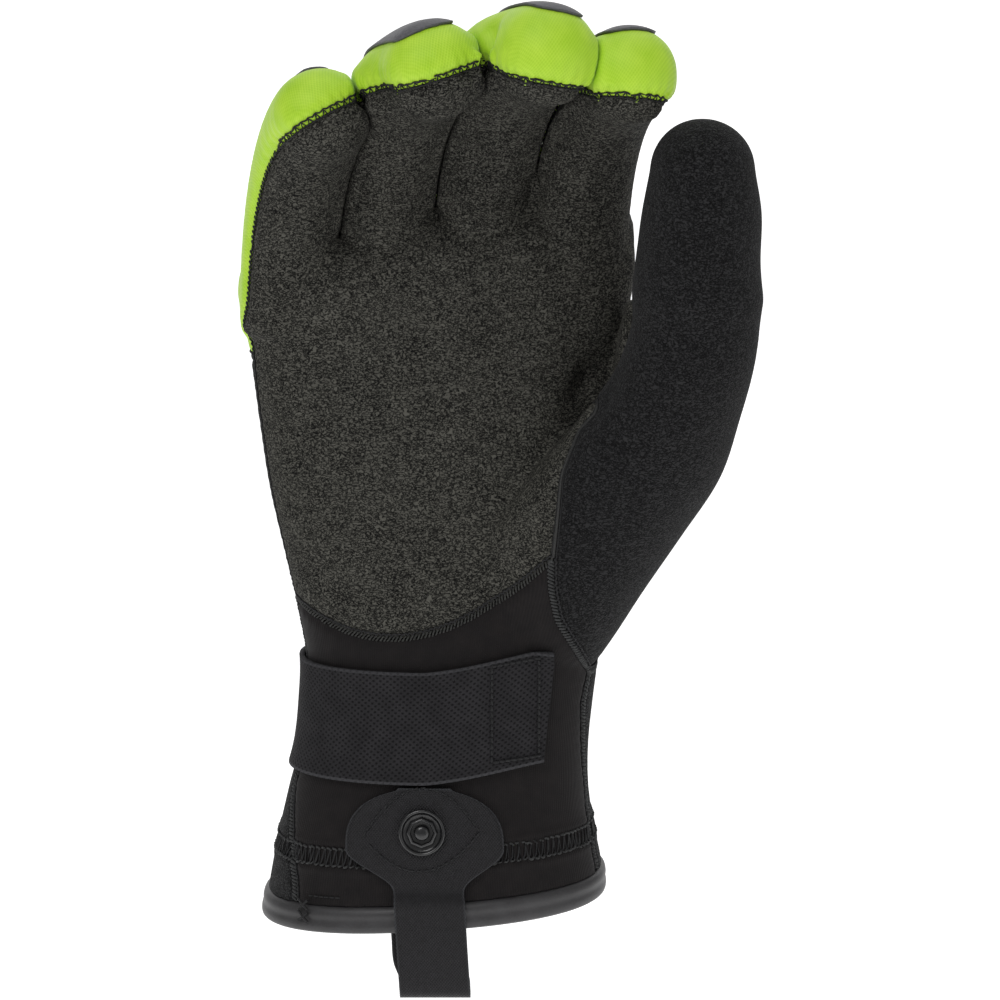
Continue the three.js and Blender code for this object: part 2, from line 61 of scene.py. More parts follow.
# Hand, wrist and cuff: level sections from the cuff's mouth up to the webs, in millimetres and degrees
HAND = table("z left right front back rise", [
    (-53.5, -48.4, 43.9, -35.2, 35.2, 3.9),
    (-46.3, -47.3, 43.6, -34.4, 34.6, 3.9),
    (-36, -45.2, 41.8, -32.8, 32.8, 2.5),
    (-22, -41.8, 40.0, -30.3, 30.3, 1),
    (-9, -38.3, 40.0, -28.2, 28.6, 0),
    (3, -37.0, 41.2, -27.0, 27.6, 0),
    (14, -36.6, 42.6, -26.2, 27.0, 0),
    (26, -38.6, 43.6, -25.0, 27.0, 0),
    (42, -42.3, 45.2, -22.3, 27.4, 0),
    (60, -46.4, 46.9, -19.0, 27.4, 0),
    (78, -49.1, 48.6, -16.4, 26.8, 0),
    (95, -51.2, 50.0, -14.2, 25.4, 1),
    (108, -52.8, 51.0, -12.4, 23.6, 3),
    (119, -53.4, 50.8, -10.6, 21.6, 6),
    (127, -51.5, 49.4, -8.0, 19.0, 8),
    (132, -46.0, 44.6, -3.5, 14.0, 9),
])
HAND_OVAL = 2.35

# Thumb, the same way, from its root inside the palm to where its round tip starts
THUMB = table("z left right front back", [
    (10, 10, 39.6, -18, 15),
    (20, 6, 46.4, -22.8, 17),
    (33, 4, 54.3, -26.8, 16),
    (49, 9, 64.4, -30.8, 11),
    (66, 23, 74.5, -35.4, 4),
    (83, 37, 79.4, -40, -4),
    (97, 46.4, 82.6, -43.5, -11),
    (107, 49.8, 83.9, -45.2, -14.5),
    (126, 52.4, 82.5, -47.2, -18.5),
    (139, 54.0, 82.6, -48.0, -20.5),
    (149.8, 56.0, 80.8, -47.6, -22.0),
])
THUMB_OVAL = 2.1
THUMB_TIP = 12.2

# Fingers: root centre, length to the round tip, curl, lean and turn of the plane it curls in, rolls,
# widths, depth, tip length, and how far behind the middle the side seam runs
FINGER_COLUMNS = (
    "x y z length curl lean turn root_roll tip_roll root_width tip_width depth tip root_seam tip_seam"
)
FINGERS = {
    name: dict(zip(FINGER_COLUMNS.split(), row))
    for name, row in {
        "little": (-41.2, 3, 102, 72.5, 66, 0.5, 19, 8, 24, 25.6, 25.4, 25, 11, -0.5, -2),
        "ring": (-15.1, 5, 110, 87.5, 86, -1, 20, 0, 15, 25.4, 26.6, 25.5, 12, 2.5, -1.5),
        "middle": (10.8, 5, 112, 95, 92, -0.5, 20.5, 0, -11, 25.4, 26.4, 26, 12.5, 2.5, -7.5),
        "index": (36.3, 4, 108, 85.5, 80, 1, 17, 0, -6, 27, 24.4, 25, 12, 4, -7),
    }.items()
}
FINGER_OVAL = 0.92
CURL_POWER = 1.5
WAIST = 0.2

# Seam lines seen from the palm, as points (x, z), and the depth of the side seams by height
PALM_HEEL = ((-37.9, 30), (-17.3, 23.6), (29.9, 46.5))
BACK_EDGE = ((-54, 97), (0, 83), (52, 99))
THUMB_SEAM = table("x z", [
    (40, 6), (40.2, 13.2), (36.7, 20.4), (31.8, 29), (30, 38), (29.9, 46), (30.9, 57), (31.7, 69),
    (35.7, 80.5), (39.8, 86), (43, 92), (45.6, 98), (48.6, 106), (50.6, 113), (51.8, 120),
    (52.6, 134), (54.4, 148), (60, 160),
])
SIDE_SEAM = table("z little thumb", [
    (-90, -26, -10), (-46, -22, -10), (-36, -18, -10), (-20, -9, -7.5), (4, -5, -12.3),
    (24, -3, -8), (88, 2, 4), (104, 0.5, 7), (138, -5.5, 4),
])
WEB_SEAM = 6

MOUTH_TOP = -46.3
MOUTH_RISE = 3.9
SEAL = {"bottom": -53.5, "proud": 0.9, "inner": 3.5}
STRAP = {"height": 30, "thickness": 1.4, "clear": 0.5, "start": -52, "end": -262, "lift": 6.8,
         "rises_at": -5, "rise_over": 33}
TAB_TOP, TAB_BROADEST, TAB_NECK = -15.7, -31.5, -42.6

PALM, BACK, THUMB_PANEL, CUFF, BACK_CUFF = range(5)

SLIM = 1.3
CONTACT = 0.1
PRESS_REACH = 6.0
# Hollows and swellings of the palm: place (x, z), size across and up, slant in degrees, and rise
PALM_FORMS = table("x z width height slant rise", [
    (39.5, 90, 4.5, 9, -28, -3.6), (45.5, 107, 4.5, 12, -14, 1.3), (-30, 100, 9, 15, 20, -0.7),
    (-6, 104, 8, 14, 12, -0.6), (18, 108, 8, 14, 8, -0.7), (8, 60, 16, 16, 0, -0.8),
])
# Webs between thumb and hand and between the fingers, as ovals: centre and half sizes
WEBS = table("x y z half_x half_y half_z", [
    (51.5, -11, 88, 5.4, 14, 25.5), (25.3, 1, 141, 2.4, 5, 14), (-2, 3, 130, 2.4, 5, 8),
])
COVER_SEAM = {"z": -34.1, "slope": 0.043, "height": 4.6, "pitch": 1.75}
# Swellings and creases of the bent fingers: where along and round a finger, in degrees from its thumb
# side over its back, how far they spread, and how high they stand
HUMPS = [
    dict(zip("finger share length angle spread rise".split(), row)) for row in (
        (1, 0.79, 0.09, 165, 42, 3.2),
        (1, 0.93, 0.05, 185, 38, -0.9),
        (2, 0.79, 0.085, 165, 42, 3.6),
        (2, 0.92, 0.024, 185, 30, -4),
    )
]


# Form of the hand

def along_curve(at, places, values):
    """A smooth curve through (places, values), read at the given places."""
    slopes = np.gradient(values, places)
    k = np.clip(np.searchsorted(places, at) - 1, 0, len(places) - 2)
    width = places[k + 1] - places[k]
    t = (at - places[k]) / width
    return (
        (2 * t**3 - 3 * t**2 + 1) * values[k]
        + (t**3 - 2 * t**2 + t) * width * slopes[k]
        + (3 * t**2 - 2 * t**3) * values[k + 1]
        + (t**3 - t**2) * width * slopes[k + 1]
    )


def section(rows, z):
    """The row of a section table at each height."""
    inside = np.clip(z, rows["z"][0], rows["z"][-1])
    return {key: along_curve(inside, rows["z"], rows[key]) for key in rows if key != "z"}


def rounded(value, power):
    return np.sign(value) * np.abs(value) ** power


def oval_ring(rows, z, angles, oval, outward=0.0):
    """Points of one section round the hand or thumb, moved out by outward."""
    row = section(rows, z)
    half_width = (row["right"] - row["left"]) / 2 + outward
    half_depth = (row["back"] - row["front"]) / 2 + outward
    x = half_width * rounded(np.cos(angles), 2 / oval)
    y = half_depth * rounded(np.sin(angles), 2 / oval)
    rise = np.tan(np.radians(row.get("rise", 0.0)))
    middle = (row["left"] + row["right"]) / 2
    return np.stack([middle + x, (row["front"] + row["back"]) / 2 + y, z + x * rise], -1)


def palm_face(x, z, outward=0.0):
    """Depth of the hand's palm face at (x, z), moved out by outward."""
    row = section(HAND, np.asarray(z, float))
    half_width = (row["right"] - row["left"]) / 2 + outward
    half_depth = (row["back"] - row["front"]) / 2 + outward
    across = np.minimum(1, np.abs((x - (row["left"] + row["right"]) / 2) / half_width))
    return (row["front"] + row["back"]) / 2 - half_depth * (1 - across**HAND_OVAL) ** (1 / HAND_OVAL)


class Finger:
    """A curled finger: centre and axes at every share of its length, worked out once."""

    STEPS = 240

    def __init__(self, name):
        for key, value in FINGERS[name].items():
            setattr(self, key, value)
        self.name = name
        plane = (Matrix.Rotation(math.radians(self.lean), 3, "Y")
                 @ Matrix.Rotation(math.radians(self.turn), 3, "Z"))
        plane = np.array(plane)
        share = np.linspace(0, 1, self.STEPS + 1)
        curl = np.radians(self.curl) * share**CURL_POWER
        self.along = np.stack([0 * curl, -np.sin(curl), np.cos(curl)], 1) @ plane.T
        middle = (self.along[1:] + self.along[:-1]) / 2
        step = self.length / self.STEPS
        root = np.array([[self.x, self.y, self.z]])
        self.centre = np.concatenate([root, root + np.cumsum(middle, 0) * step])
        roll = np.radians(self.root_roll + (self.tip_roll - self.root_roll) * share)
        flat = plane @ np.array([1.0, 0, 0])
        lifted = np.cross(self.along, flat)
        self.across = np.cos(roll)[:, None] * flat + np.sin(roll)[:, None] * lifted
        self.dorsal = np.cross(self.along, self.across)

    def frame_at(self, share):
        k = np.clip(np.rint(np.asarray(share) * self.STEPS).astype(int), 0, self.STEPS)
        return self.centre[k], self.along[k], self.across[k], self.dorsal[k]

    def width(self, share):
        even = self.root_width + (self.tip_width - self.root_width) * share
        return even - WAIST * np.sin(np.pi * np.clip(share, 0, 1)) ** 2

    def point(self, share, polar, angles, outward=0.0):
        """Skin points: share along it, polar degrees over its tip, angles from the thumb side."""
        centre, along, across, dorsal = self.frame_at(share)
        shrink = math.cos(math.radians(polar))
        half_width = (self.width(share) / 2 + outward) * shrink
        half_depth = (self.depth / 2 + outward) * shrink
        return (
            centre
            + (half_width * rounded(np.cos(angles), FINGER_OVAL))[:, None] * across
            + (half_depth * rounded(np.sin(angles), FINGER_OVAL))[:, None] * dorsal
            + (self.tip + outward) * math.sin(math.radians(polar)) * along
        )

    def local(self, points):
        """Share, sideways and dorsal distance of points, and how far they are from the finger's middle."""
        if not hasattr(self, "tree"):
            self.tree = tree_of(self.centre)
        found = [self.tree.find(p) for p in points]
        k = np.array([hit[1] for hit in found])
        away = np.array([hit[2] for hit in found])
        offset = points - self.centre[k]
        forward = (offset * self.along[k]).sum(1)
        share = k / self.STEPS + forward / self.length
        return share, (offset * self.across[k]).sum(1), (offset * self.dorsal[k]).sum(1), away

    def seam_at(self, share):
        return self.root_seam + (self.tip_seam - self.root_seam) * np.clip(share, 0, 1) ** 3


FINGER_FORMS = [Finger(name) for name in FINGERS]


def tree_of(points):
    tree = KDTree(len(points))
    for k, point in enumerate(points):
        tree.insert(point, k)
    tree.balance()
    return tree


def parabola(points, x):
    """Height at x of the parabola through three points (x, z)."""
    return np.polyval(np.polyfit(*np.array(points, float).T, 2), x)


def fade(value, start, end):
    """0 before start, 1 after end, and smooth between them."""
    t = np.clip((value - start) / (end - start), 0, 1)
    return t * t * (3 - 2 * t)


def nearest_finger(points):
    return np.argmin([form.local(points)[3] for form in FINGER_FORMS], 0)


def finger_coordinates(points, fingers):
    """The share of each point along its finger, and its sideways and dorsal distance there."""
    made = np.zeros((3, len(points)))
    for k, form in enumerate(FINGER_FORMS):
        mine = fingers == k
        made[:, mine] = form.local(points[mine])[:3]
    return made


def seam_fields(points, fingers):
    """Signed distances to the seams: palm to back, palm heel, back edge, and thumb, each zero on it."""
    x, y, z = points.T
    share, _, dorsal = finger_coordinates(points, fingers)
    edge = np.where(x < 0, np.interp(z, SIDE_SEAM["z"], SIDE_SEAM["little"]),
                    np.interp(z, SIDE_SEAM["z"], SIDE_SEAM["thumb"]))
    inner = 30 * fade(z, 30, 70)
    block = y - (WEB_SEAM + (edge - WEB_SEAM) * np.clip((np.abs(x) - inner) / 17, 0, 1))
    finger_seam = np.choose(fingers, [form.seam_at(share) for form in FINGER_FORMS])
    in_finger = fade(share, 0.0, 0.15)
    side = block + (dorsal - finger_seam - block) * in_finger
    heel = z - parabola(PALM_HEEL, x)
    knuckles = z - parabola(BACK_EDGE, x)
    row = section(THUMB, z)
    half_width = (row["right"] - row["left"]) / 2 + 1
    half_depth = (row["back"] - row["front"]) / 2 + 1
    reach = (np.abs((x - (row["left"] + row["right"]) / 2) / half_width) ** THUMB_OVAL
             + np.abs((y - (row["front"] + row["back"]) / 2) / half_depth) ** THUMB_OVAL)
    outside = (reach ** (1 / THUMB_OVAL) - 1) * np.minimum(half_width, half_depth)
    left_of_seam = np.interp(z, THUMB_SEAM["z"], THUMB_SEAM["x"]) - x
    thumb = np.maximum(np.maximum(outside, left_of_seam), 4 - z)
    return {"side": side, "heel": heel, "knuckles": knuckles, "thumb": thumb}


def panel_of(fields):
    """The panel that each point belongs to."""
    front = np.where(fields["heel"] > 0, PALM, CUFF)
    back = np.where(fields["knuckles"] > 0, BACK, BACK_CUFF)
    return np.where(fields["thumb"] < 0, THUMB_PANEL, np.where(fields["side"] < 0, front, back))


# Modelling by hand

def start():
    """Nothing selected and object mode, as each piece begins."""
    if bpy.context.mode != "OBJECT":
        bpy.ops.object.mode_set(mode="OBJECT")
    bpy.ops.object.select_all(action="DESELECT")


def only(*objects):
    """Selects these objects, the first as the active one."""
    start()
    for obj in objects:
        obj.select_set(True)
    bpy.context.view_layer.objects.active = objects[0]
    return objects[0]


def in_edit_mode(obj, work):
    """Runs work on the whole mesh in edit mode."""
    only(obj)
    bpy.ops.object.mode_set(mode="EDIT")
    bpy.ops.mesh.select_all(action="SELECT")
    work()
    bpy.ops.object.mode_set(mode="OBJECT")
    return obj


def modify(obj, kind, **settings):
    """Adds a modifier with its settings and applies it."""
    only(obj)
    modifier = obj.modifiers.new(kind.title(), kind)
    for key, value in settings.items():
        setattr(modifier, key, value)
    bpy.ops.object.modifier_apply(modifier=modifier.name)


def joined(name, objects):
    """Joins objects into one of that name."""
    made = only(*objects)
    if len(objects) > 1:
        bpy.ops.object.join()
    made.name = name
    made.data.name = name
    return made


def add_surface(name, points):
    """A grid is added and its points are moved to their places, in millimetres; what meets is merged."""
    rows, columns = points.shape[:2]
    start()
    bpy.ops.mesh.primitive_grid_add(x_subdivisions=columns - 1, y_subdivisions=rows - 1, size=1)
    obj = bpy.context.active_object
    obj.name = name
    obj.data.name = name
    obj.data.vertices.foreach_set("co", (points.reshape(-1, 3) * MM).ravel().astype(np.float32))
    obj.data.update()

    def close():
        bpy.ops.mesh.remove_doubles(threshold=1e-6)
        bpy.ops.mesh.normals_make_consistent(inside=False)

    return in_edit_mode(obj, close)


def wrapped(ring):
    """A ring of points with its first point again at its end."""
    return np.concatenate([ring, ring[:1]])


def capped(rings):
    """Rings of points as rows of a closed surface, with a pole at each end."""
    rows = [wrapped(ring) for ring in rings]
    ends = [np.repeat(row[:-1].mean(0)[None], len(row), 0) for row in (rows[0], rows[-1])]
    return np.stack([ends[0], *rows, ends[1]])


def coordinates(obj):
    """The vertices of an object's mesh in millimetres."""
    flat = np.zeros(len(obj.data.vertices) * 3)
    obj.data.vertices.foreach_get("co", flat)
    return flat.reshape(-1, 3) / MM


def normals(obj):
    flat = np.zeros(len(obj.data.vertices) * 3, np.float32)
    obj.data.vertex_normals.foreach_get("vector", flat)
    return flat.reshape(-1, 3).astype(float)


def move_to(obj, points):
    obj.data.vertices.foreach_set("co", (points * MM).ravel().astype(np.float32))
    obj.data.update()


def store(obj, name, vectors):
    """Keeps vectors, one for each vertex, as an attribute of the mesh."""
    attribute = obj.data.attributes.new(name, "FLOAT_VECTOR", "POINT")
    attribute.data.foreach_set("vector", np.ascontiguousarray(vectors, np.float32).ravel())


def stored(obj, name):
    """The vectors of an attribute, one for each vertex."""
    flat = np.zeros(len(obj.data.vertices) * 3, np.float32)
    obj.data.attributes[name].data.foreach_get("vector", flat)
    return flat.reshape(-1, 3).astype(float)


def length_along(path):
    """How far along a path each of its points lies."""
    return np.concatenate([[0], np.cumsum(np.linalg.norm(np.diff(path, axis=0), axis=1))])


def nearest_on(surface, place):
    """The nearest point of a surface, in millimetres, and the surface's direction there."""
    near, normal, _, _ = surface.find_nearest(Vector(place * MM))
    return np.array(near) / MM, np.array(normal)


def face_table(obj):
    """The vertex, edge and face of every face corner, and how many corners each face has."""
    mesh = obj.data
    vertices = np.zeros(len(mesh.loops), int)
    edges = np.zeros(len(mesh.loops), int)
    totals = np.zeros(len(mesh.polygons), int)
    mesh.loops.foreach_get("vertex_index", vertices)
    mesh.loops.foreach_get("edge_index", edges)
    mesh.polygons.foreach_get("loop_total", totals)
    return vertices, edges, np.repeat(np.arange(len(totals)), totals), totals


def face_middles(obj):
    """The middle of every face."""
    vertices, _, faces, totals = face_table(obj)
    middle = np.zeros((len(totals), 3))
    np.add.at(middle, faces, coordinates(obj)[vertices])
    return middle / totals[:, None]


def face_pairs(obj):
    """The edges that two faces share, and the two faces."""
    _, edges, faces, _ = face_table(obj)
    order = np.argsort(edges, kind="stable")
    edges, faces = edges[order], faces[order]
    twin = np.flatnonzero(edges[1:] == edges[:-1])
    return edges[twin], faces[twin], faces[twin + 1]


def finished(obj, nodes=()):
    """Rides on the one body and stands for its CAD nodes."""
    only(obj)
    bpy.ops.object.transform_apply(location=True, rotation=True, scale=True)
    bpy.ops.object.shade_smooth()
    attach(obj, "root")
    if nodes:
        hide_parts(*nodes)


# Shader arithmetic

class Wire:
    """A socket of a finish that takes arithmetic."""

    def __init__(self, finish, socket):
        self.finish = finish
        self.socket = socket

    def maths(self, operation, *values, clamp=False):
        settings = {"operation": operation, "use_clamp": clamp}
        return self.finish.node("ShaderNodeMath", settings, dict(enumerate(values)))

    def __add__(self, other):
        return self.maths("ADD", self, other)

    def __radd__(self, other):
        return self.maths("ADD", other, self)

    def __sub__(self, other):
        return self.maths("SUBTRACT", self, other)

    def __rsub__(self, other):
        return self.maths("SUBTRACT", other, self)

    def __mul__(self, other):
        return self.maths("MULTIPLY", self, other)

    def __rmul__(self, other):
        return self.maths("MULTIPLY", other, self)

    def sine(self, period_mm):
        """The sine of a length in metres, with one turn in every period_mm."""
        return self.maths("SINE", self * (2 * math.pi * 1000 / period_mm))

    def waves(self, period_mm):
        """The same as waves from 0 to 1."""
        return self.sine(period_mm) * 0.5 + 0.5

    def size(self):
        return self.maths("ABSOLUTE", self)

    def most(self, other):
        return self.maths("MAXIMUM", self, other)

    def clamped(self):
        return self.maths("ADD", self, 0.0, clamp=True)

    def over(self, low, high):
        """0 up to low, 1 from high on, and even in between."""
        sockets = {"Value": self, "From Min": low, "From Max": high}
        return self.finish.node("ShaderNodeMapRange", {"clamp": True}, sockets)


def linear(code):
    """A colour written as six hexadecimal digits, as linear red, green and blue."""
    parts = [int(code[k:k + 2], 16) / 255 for k in (0, 2, 4)]
    return [c / 12.92 if c < 0.04045 else ((c + 0.055) / 1.055) ** 2.4 for c in parts]


class Finish:
    """A material with its shader, to which nodes are added."""

    def __init__(self, name, **constants):
        self.material = bpy.data.materials.new(name)
        self.material.use_nodes = True
        self.tree = self.material.node_tree
        self.shader = self.tree.nodes["Principled BSDF"]
        for key, value in constants.items():
            self.shader.inputs[key.replace("_", " ").title().replace("Ior", "IOR")].default_value = value

    def plug(self, socket, value):
        if isinstance(value, Wire):
            self.tree.links.new(value.socket, socket)
        elif socket.type == "RGBA" and len(value) == 3:
            socket.default_value = (*value, 1.0)
        else:
            socket.default_value = value

    def node(self, kind, settings=None, sockets=None, out=0):
        made = self.tree.nodes.new(kind)
        for key, value in (settings or {}).items():
            setattr(made, key, value)
        for key, value in (sockets or {}).items():
            self.plug(made.inputs[key], value)
        return Wire(self, made.outputs[out])

    def place(self):
        return self.node("ShaderNodeTexCoord", out=3)

    def noise(self, size_mm, detail=2.0, roughness=0.5, stretch=None):
        """Noise from 0 to 1 with features of about size_mm."""
        place = self.place()
        if stretch:
            place = self.node("ShaderNodeMapping", None, {"Vector": place, "Scale": stretch})
        sockets = {"Vector": place, "Scale": 1000.0 / size_mm, "Detail": detail, "Roughness": roughness}
        return self.node("ShaderNodeTexNoise", None, sockets)

    def cells(self, size_mm):
        """Round cells of about size_mm, 0 in their middles."""
        return self.node("ShaderNodeTexVoronoi", None, {"Vector": self.place(), "Scale": 1000.0 / size_mm})

    def cloth(self):
        """The three cloth coordinates, in metres."""
        place = self.node("ShaderNodeAttribute", {"attribute_name": "cloth"}, out=1)
        split = self.node("ShaderNodeSeparateXYZ", None, {"Vector": place})
        return [Wire(self, socket) for socket in split.socket.node.outputs]

    def mix(self, share, first, second):
        """first where share is 0 and second where it is 1, as colours."""
        return self.node("ShaderNodeMix", {"data_type": "RGBA"}, {0: share, 6: first, 7: second}, out=2)

    def bump(self, height, depth_mm):
        """Raises the surface by height, which is from 0 to 1, times depth_mm."""
        return self.node(
            "ShaderNodeBump", None, {"Height": height, "Distance": depth_mm * MM, "Strength": 1.0})

    def ends(self, colour=None, roughness=None, normal=None):
        """Plugs what varies into the shader."""
        for key, value in (("Base Color", colour), ("Roughness", roughness), ("Normal", normal)):
            if value is not None:
                self.plug(self.shader.inputs[key], value)
        return self.material


# Finishes

def grip_fabric(dark, light):
    """Heathered grip cloth: dark and pale yarns, a fine grain, and a rubbery, matt face."""
    f = Finish("Grip_fabric", specular_ior_level=0.12)
    yarns = f.noise(0.66, detail=1, roughness=0.5)
    crossing = f.noise(0.85, detail=1, stretch=(0.6, 0.6, 1.5))
    patches = f.noise(8, detail=2)
    worms = (yarns - crossing).size().over(0.0, 0.2)
    tone = (worms * 0.85 + yarns.over(0.35, 0.65) * 0.2 + patches * 0.3 - 0.3).clamped()
    colour = f.mix(tone, linear(dark), linear(light))
    return f.ends(colour, tone * -0.1 + 0.86, f.bump(worms * 0.6 + yarns * 0.4, 0.2))


def lime_neoprene(deep):
    """Bright stretch jersey on foam: fine diagonal knit, slight mottling and a soft sheen."""
    f = Finish("Lime_neoprene", specular_ior_level=0.4, sheen_weight=0.15, sheen_roughness=0.4)
    across, along, _ = f.cloth()
    rib = (across * 0.8 + along * 0.6).waves(0.62)
    cross = (across * 0.7 - along * 0.7).waves(0.62 / 1.1)
    knit = rib * 0.6 + cross * 0.4
    mottle = f.noise(6, detail=3)
    shade = (knit.over(0.1, 0.75) * 0.5 + mottle.over(0.3, 0.7) * 0.5).clamped()
    colour = f.mix(shade, linear(deep), list(bpy.context.scene.glove_colours.lime))
    return f.ends(colour, mottle * 0.12 + 0.5, f.bump(knit * 0.8 + f.noise(0.3) * 0.2, 0.06))


def plush_knit(base, fleck):
    """Dark brushed knit: short fibres in all directions with a few pale ones."""
    f = Finish("Plush_knit", specular_ior_level=0.12, sheen_weight=0.05, sheen_roughness=0.5)
    fibres = f.noise(0.7, detail=2, roughness=0.6)
    tufts = f.noise(0.9, detail=1, stretch=(0.7, 0.7, 1.5))
    curls = (fibres - tufts).size().over(0.02, 0.22)
    colour = f.mix(curls, linear(base), linear(fleck))
    return f.ends(colour, 0.95 - curls * 0.08, f.bump(curls * 0.5 + tufts * 0.5, 0.4))


def smooth_neoprene(base, light):
    """Smooth dark jersey: fine upright ribs of knit with a slight warm tone."""
    f = Finish("Smooth_neoprene", specular_ior_level=0.12, sheen_weight=0.03, sheen_roughness=0.5)
    across, along, _ = f.cloth()
    rib = across.waves(0.7)
    loop = along.waves(0.55)
    mottle = f.noise(3.5, detail=4)
    tone = (rib * 0.45 + mottle.over(0.3, 0.7) * 0.55).clamped()
    colour = f.mix(tone, linear(base), linear(light))
    return f.ends(colour, mottle * 0.1 + 0.66, f.bump(rib * 0.6 + loop * 0.2 + mottle * 0.2, 0.09))


def edge_rubber(base, light):
    """Smooth rubbery binding with a satin face, mottled from dark to slightly paler."""
    f = Finish("Edge_rubber", specular_ior_level=0.5)
    mottle = f.noise(5, detail=4)
    fine = f.noise(0.5, detail=2)
    colour = f.mix((mottle * 0.6 + fine * 0.4).over(0.35, 0.65), linear(base), linear(light))
    return f.ends(colour, mottle * 0.15 + 0.42, f.bump(fine, 0.04))


def elastic_web(base, light):
    """Woven elastic: upright mesh ribs, rows of rubber core and paler edges."""
    f = Finish("Elastic_web", specular_ior_level=0.12)
    around, height, edge = f.cloth()
    holes = (around.sine(1.84) * height.sine(1.52)).over(0.1, 0.9) * 0.75
    wear = f.noise(5, detail=3).over(0.3, 0.7)
    colour = f.mix((1 - holes) * (wear * 0.35 + 0.65), linear(base), linear(light))
    hem = edge.over(0.0141, 0.0145) * (1 - edge.over(0.0149, 0.0152))
    colour = f.mix(hem * 0.5, colour, linear("4c4c4f"))
    return f.ends(colour, holes * 0.1 + 0.8, f.bump(1 - holes, 0.25))


def coated_fabric(base, light):
    """Coated twill: a fine diamond weave under a thin blue-black coat, with a pale cut edge."""
    f = Finish("Coated_fabric", specular_ior_level=0.25)
    across, along, edge = f.cloth()
    left = (across + along * 0.8).waves(0.8)
    right = (across - along * 0.8).waves(0.8)
    weave = left.most(right) * 0.5 + left * right * 0.5
    tone = weave.over(0.2, 0.9) * 0.6 + f.noise(1.4, detail=3).over(0.35, 0.65) * 0.4
    colour = f.mix(tone.clamped(), linear(base), linear(light))
    colour = f.mix(edge.over(0.0, 0.0006) * -1.0 + 1.0, colour, linear("37383b"))
    return f.ends(colour, 0.62 - weave * 0.12, f.bump(weave, 0.16))


def snap_plastic(base, worn):
    """Glossy black moulding with faint swirls in a paler, worn tone."""
    f = Finish("Snap_plastic", specular_ior_level=0.55, coat_weight=0.3, coat_roughness=0.15)
    swirl = f.noise(1.2, detail=5, roughness=0.6)
    colour = f.mix(swirl.over(0.5, 0.8) * 0.5, linear(base), linear(worn))
    return f.ends(colour, swirl * 0.2 + 0.2, f.bump(swirl, 0.02))


def pad_film(base, light):
    """Smooth rubber film with a fine grain."""
    f = Finish("Pad_film", specular_ior_level=0.5)
    grain = f.cells(0.7)
    mottle = f.noise(3, detail=3)
    colour = f.mix((grain * 0.6 + mottle * 0.4).over(0.2, 0.8), linear(base), linear(light))
    return f.ends(colour, mottle * 0.15 + 0.45, f.bump(grain, 0.06))


def thread(name, base, light):
    """Twisted sewing thread: darker in its turns, with a dull shine."""
    f = Finish(name, specular_ior_level=0.4)
    fibres = f.noise(0.35, detail=3, roughness=0.6)
    colour = f.mix(fibres.over(0.3, 0.7), linear(base), linear(light))
    return f.ends(colour, fibres * 0.2 + 0.6, f.bump(fibres, 0.12))


def lining(base, light):
    """Plain jersey inside the panels."""
    f = Finish("Lining", specular_ior_level=0.12)
    loops = f.cells(0.9)
    colour = f.mix(loops, linear(base), linear(light))
    return f.ends(colour, 0.9 - loops * 0.1, f.bump(loops, 0.12))


# Each finish by its slot's name: how it is made, and its dark and pale colours
MAKERS = {
    "grip_fabric": (grip_fabric, "060606", "575650"),
    "lime_neoprene": (lime_neoprene, "96c412"),
    "plush_knit": (plush_knit, "050506", "2b2b2c"),
    "smooth_neoprene": (smooth_neoprene, "121011", "1e1b1b"),
    "edge_rubber": (edge_rubber, "262526", "343335"),
    "elastic_web": (elastic_web, "060607", "2a292b"),
    "coated_fabric": (coated_fabric, "0e0d0f", "1d1c1f"),
    "snap_plastic": (snap_plastic, "08080a", "1b1b1e"),
    "pad_film": (pad_film, "3c3c40", "55555a"),
    "black_thread": (thread, "Black_thread", "060607", "1d1d1f"),
    "grey_thread": (thread, "Grey_thread", "151616", "3b3c3c"),
    "heel_thread": (thread, "Heel_thread", "121211", "3a3b38"),
    "web_thread": (thread, "Web_thread", "060607", "222224"),
    "ridge_knit": (thread, "Ridge_knit", "111111", "353534"),
    "lining": (lining, "101012", "1d1d20"),
}
FINISHES = {}


def dress(obj, *names):
    """Gives an object its finishes in order, each made once."""
    obj.data.materials.clear()
    for name in names:
        if name not in FINISHES:
            make, *values = MAKERS[name]
            FINISHES[name] = make(*values)
        obj.data.materials.append(FINISHES[name])
    return obj


# Sizes and colours that a user would change

class GloveSizes(bpy.types.PropertyGroup):
    wall: bpy.props.FloatProperty(
        name="Wall", description="Thickness of the neoprene", default=3 * MM, unit="LENGTH")
    grain: bpy.props.FloatProperty(
        name="Grain", description="Spacing of the form's faces", default=0.8 * MM, unit="LENGTH")
    pinch: bpy.props.FloatProperty(
        name="Pinch", description="How deep a seam draws the panels in", default=0.9 * MM, unit="LENGTH")
    pucker: bpy.props.FloatProperty(
        name="Pucker", description="Height of the puckers beside a seam", default=0.4 * MM, unit="LENGTH")


class GloveColours(bpy.types.PropertyGroup):
    lime: bpy.props.FloatVectorProperty(
        name="Lime", description="Colour of the finger backs", subtype="COLOR", size=3,
        default=linear("b4d83a"))


def properties():
    """The glove's own sizes."""
    return bpy.context.scene.glove_sizes


# Hand form and its panels

FORM = {}


def round_angles(count):
    return np.linspace(0, 2 * np.pi, count, endpoint=False)


def hand_sleeve():
    heights = [*np.arange(-52, 131, 1.5), 132]
    return add_surface("Hand", capped([
        oval_ring(HAND, z, round_angles(120), HAND_OVAL) for z in heights]))


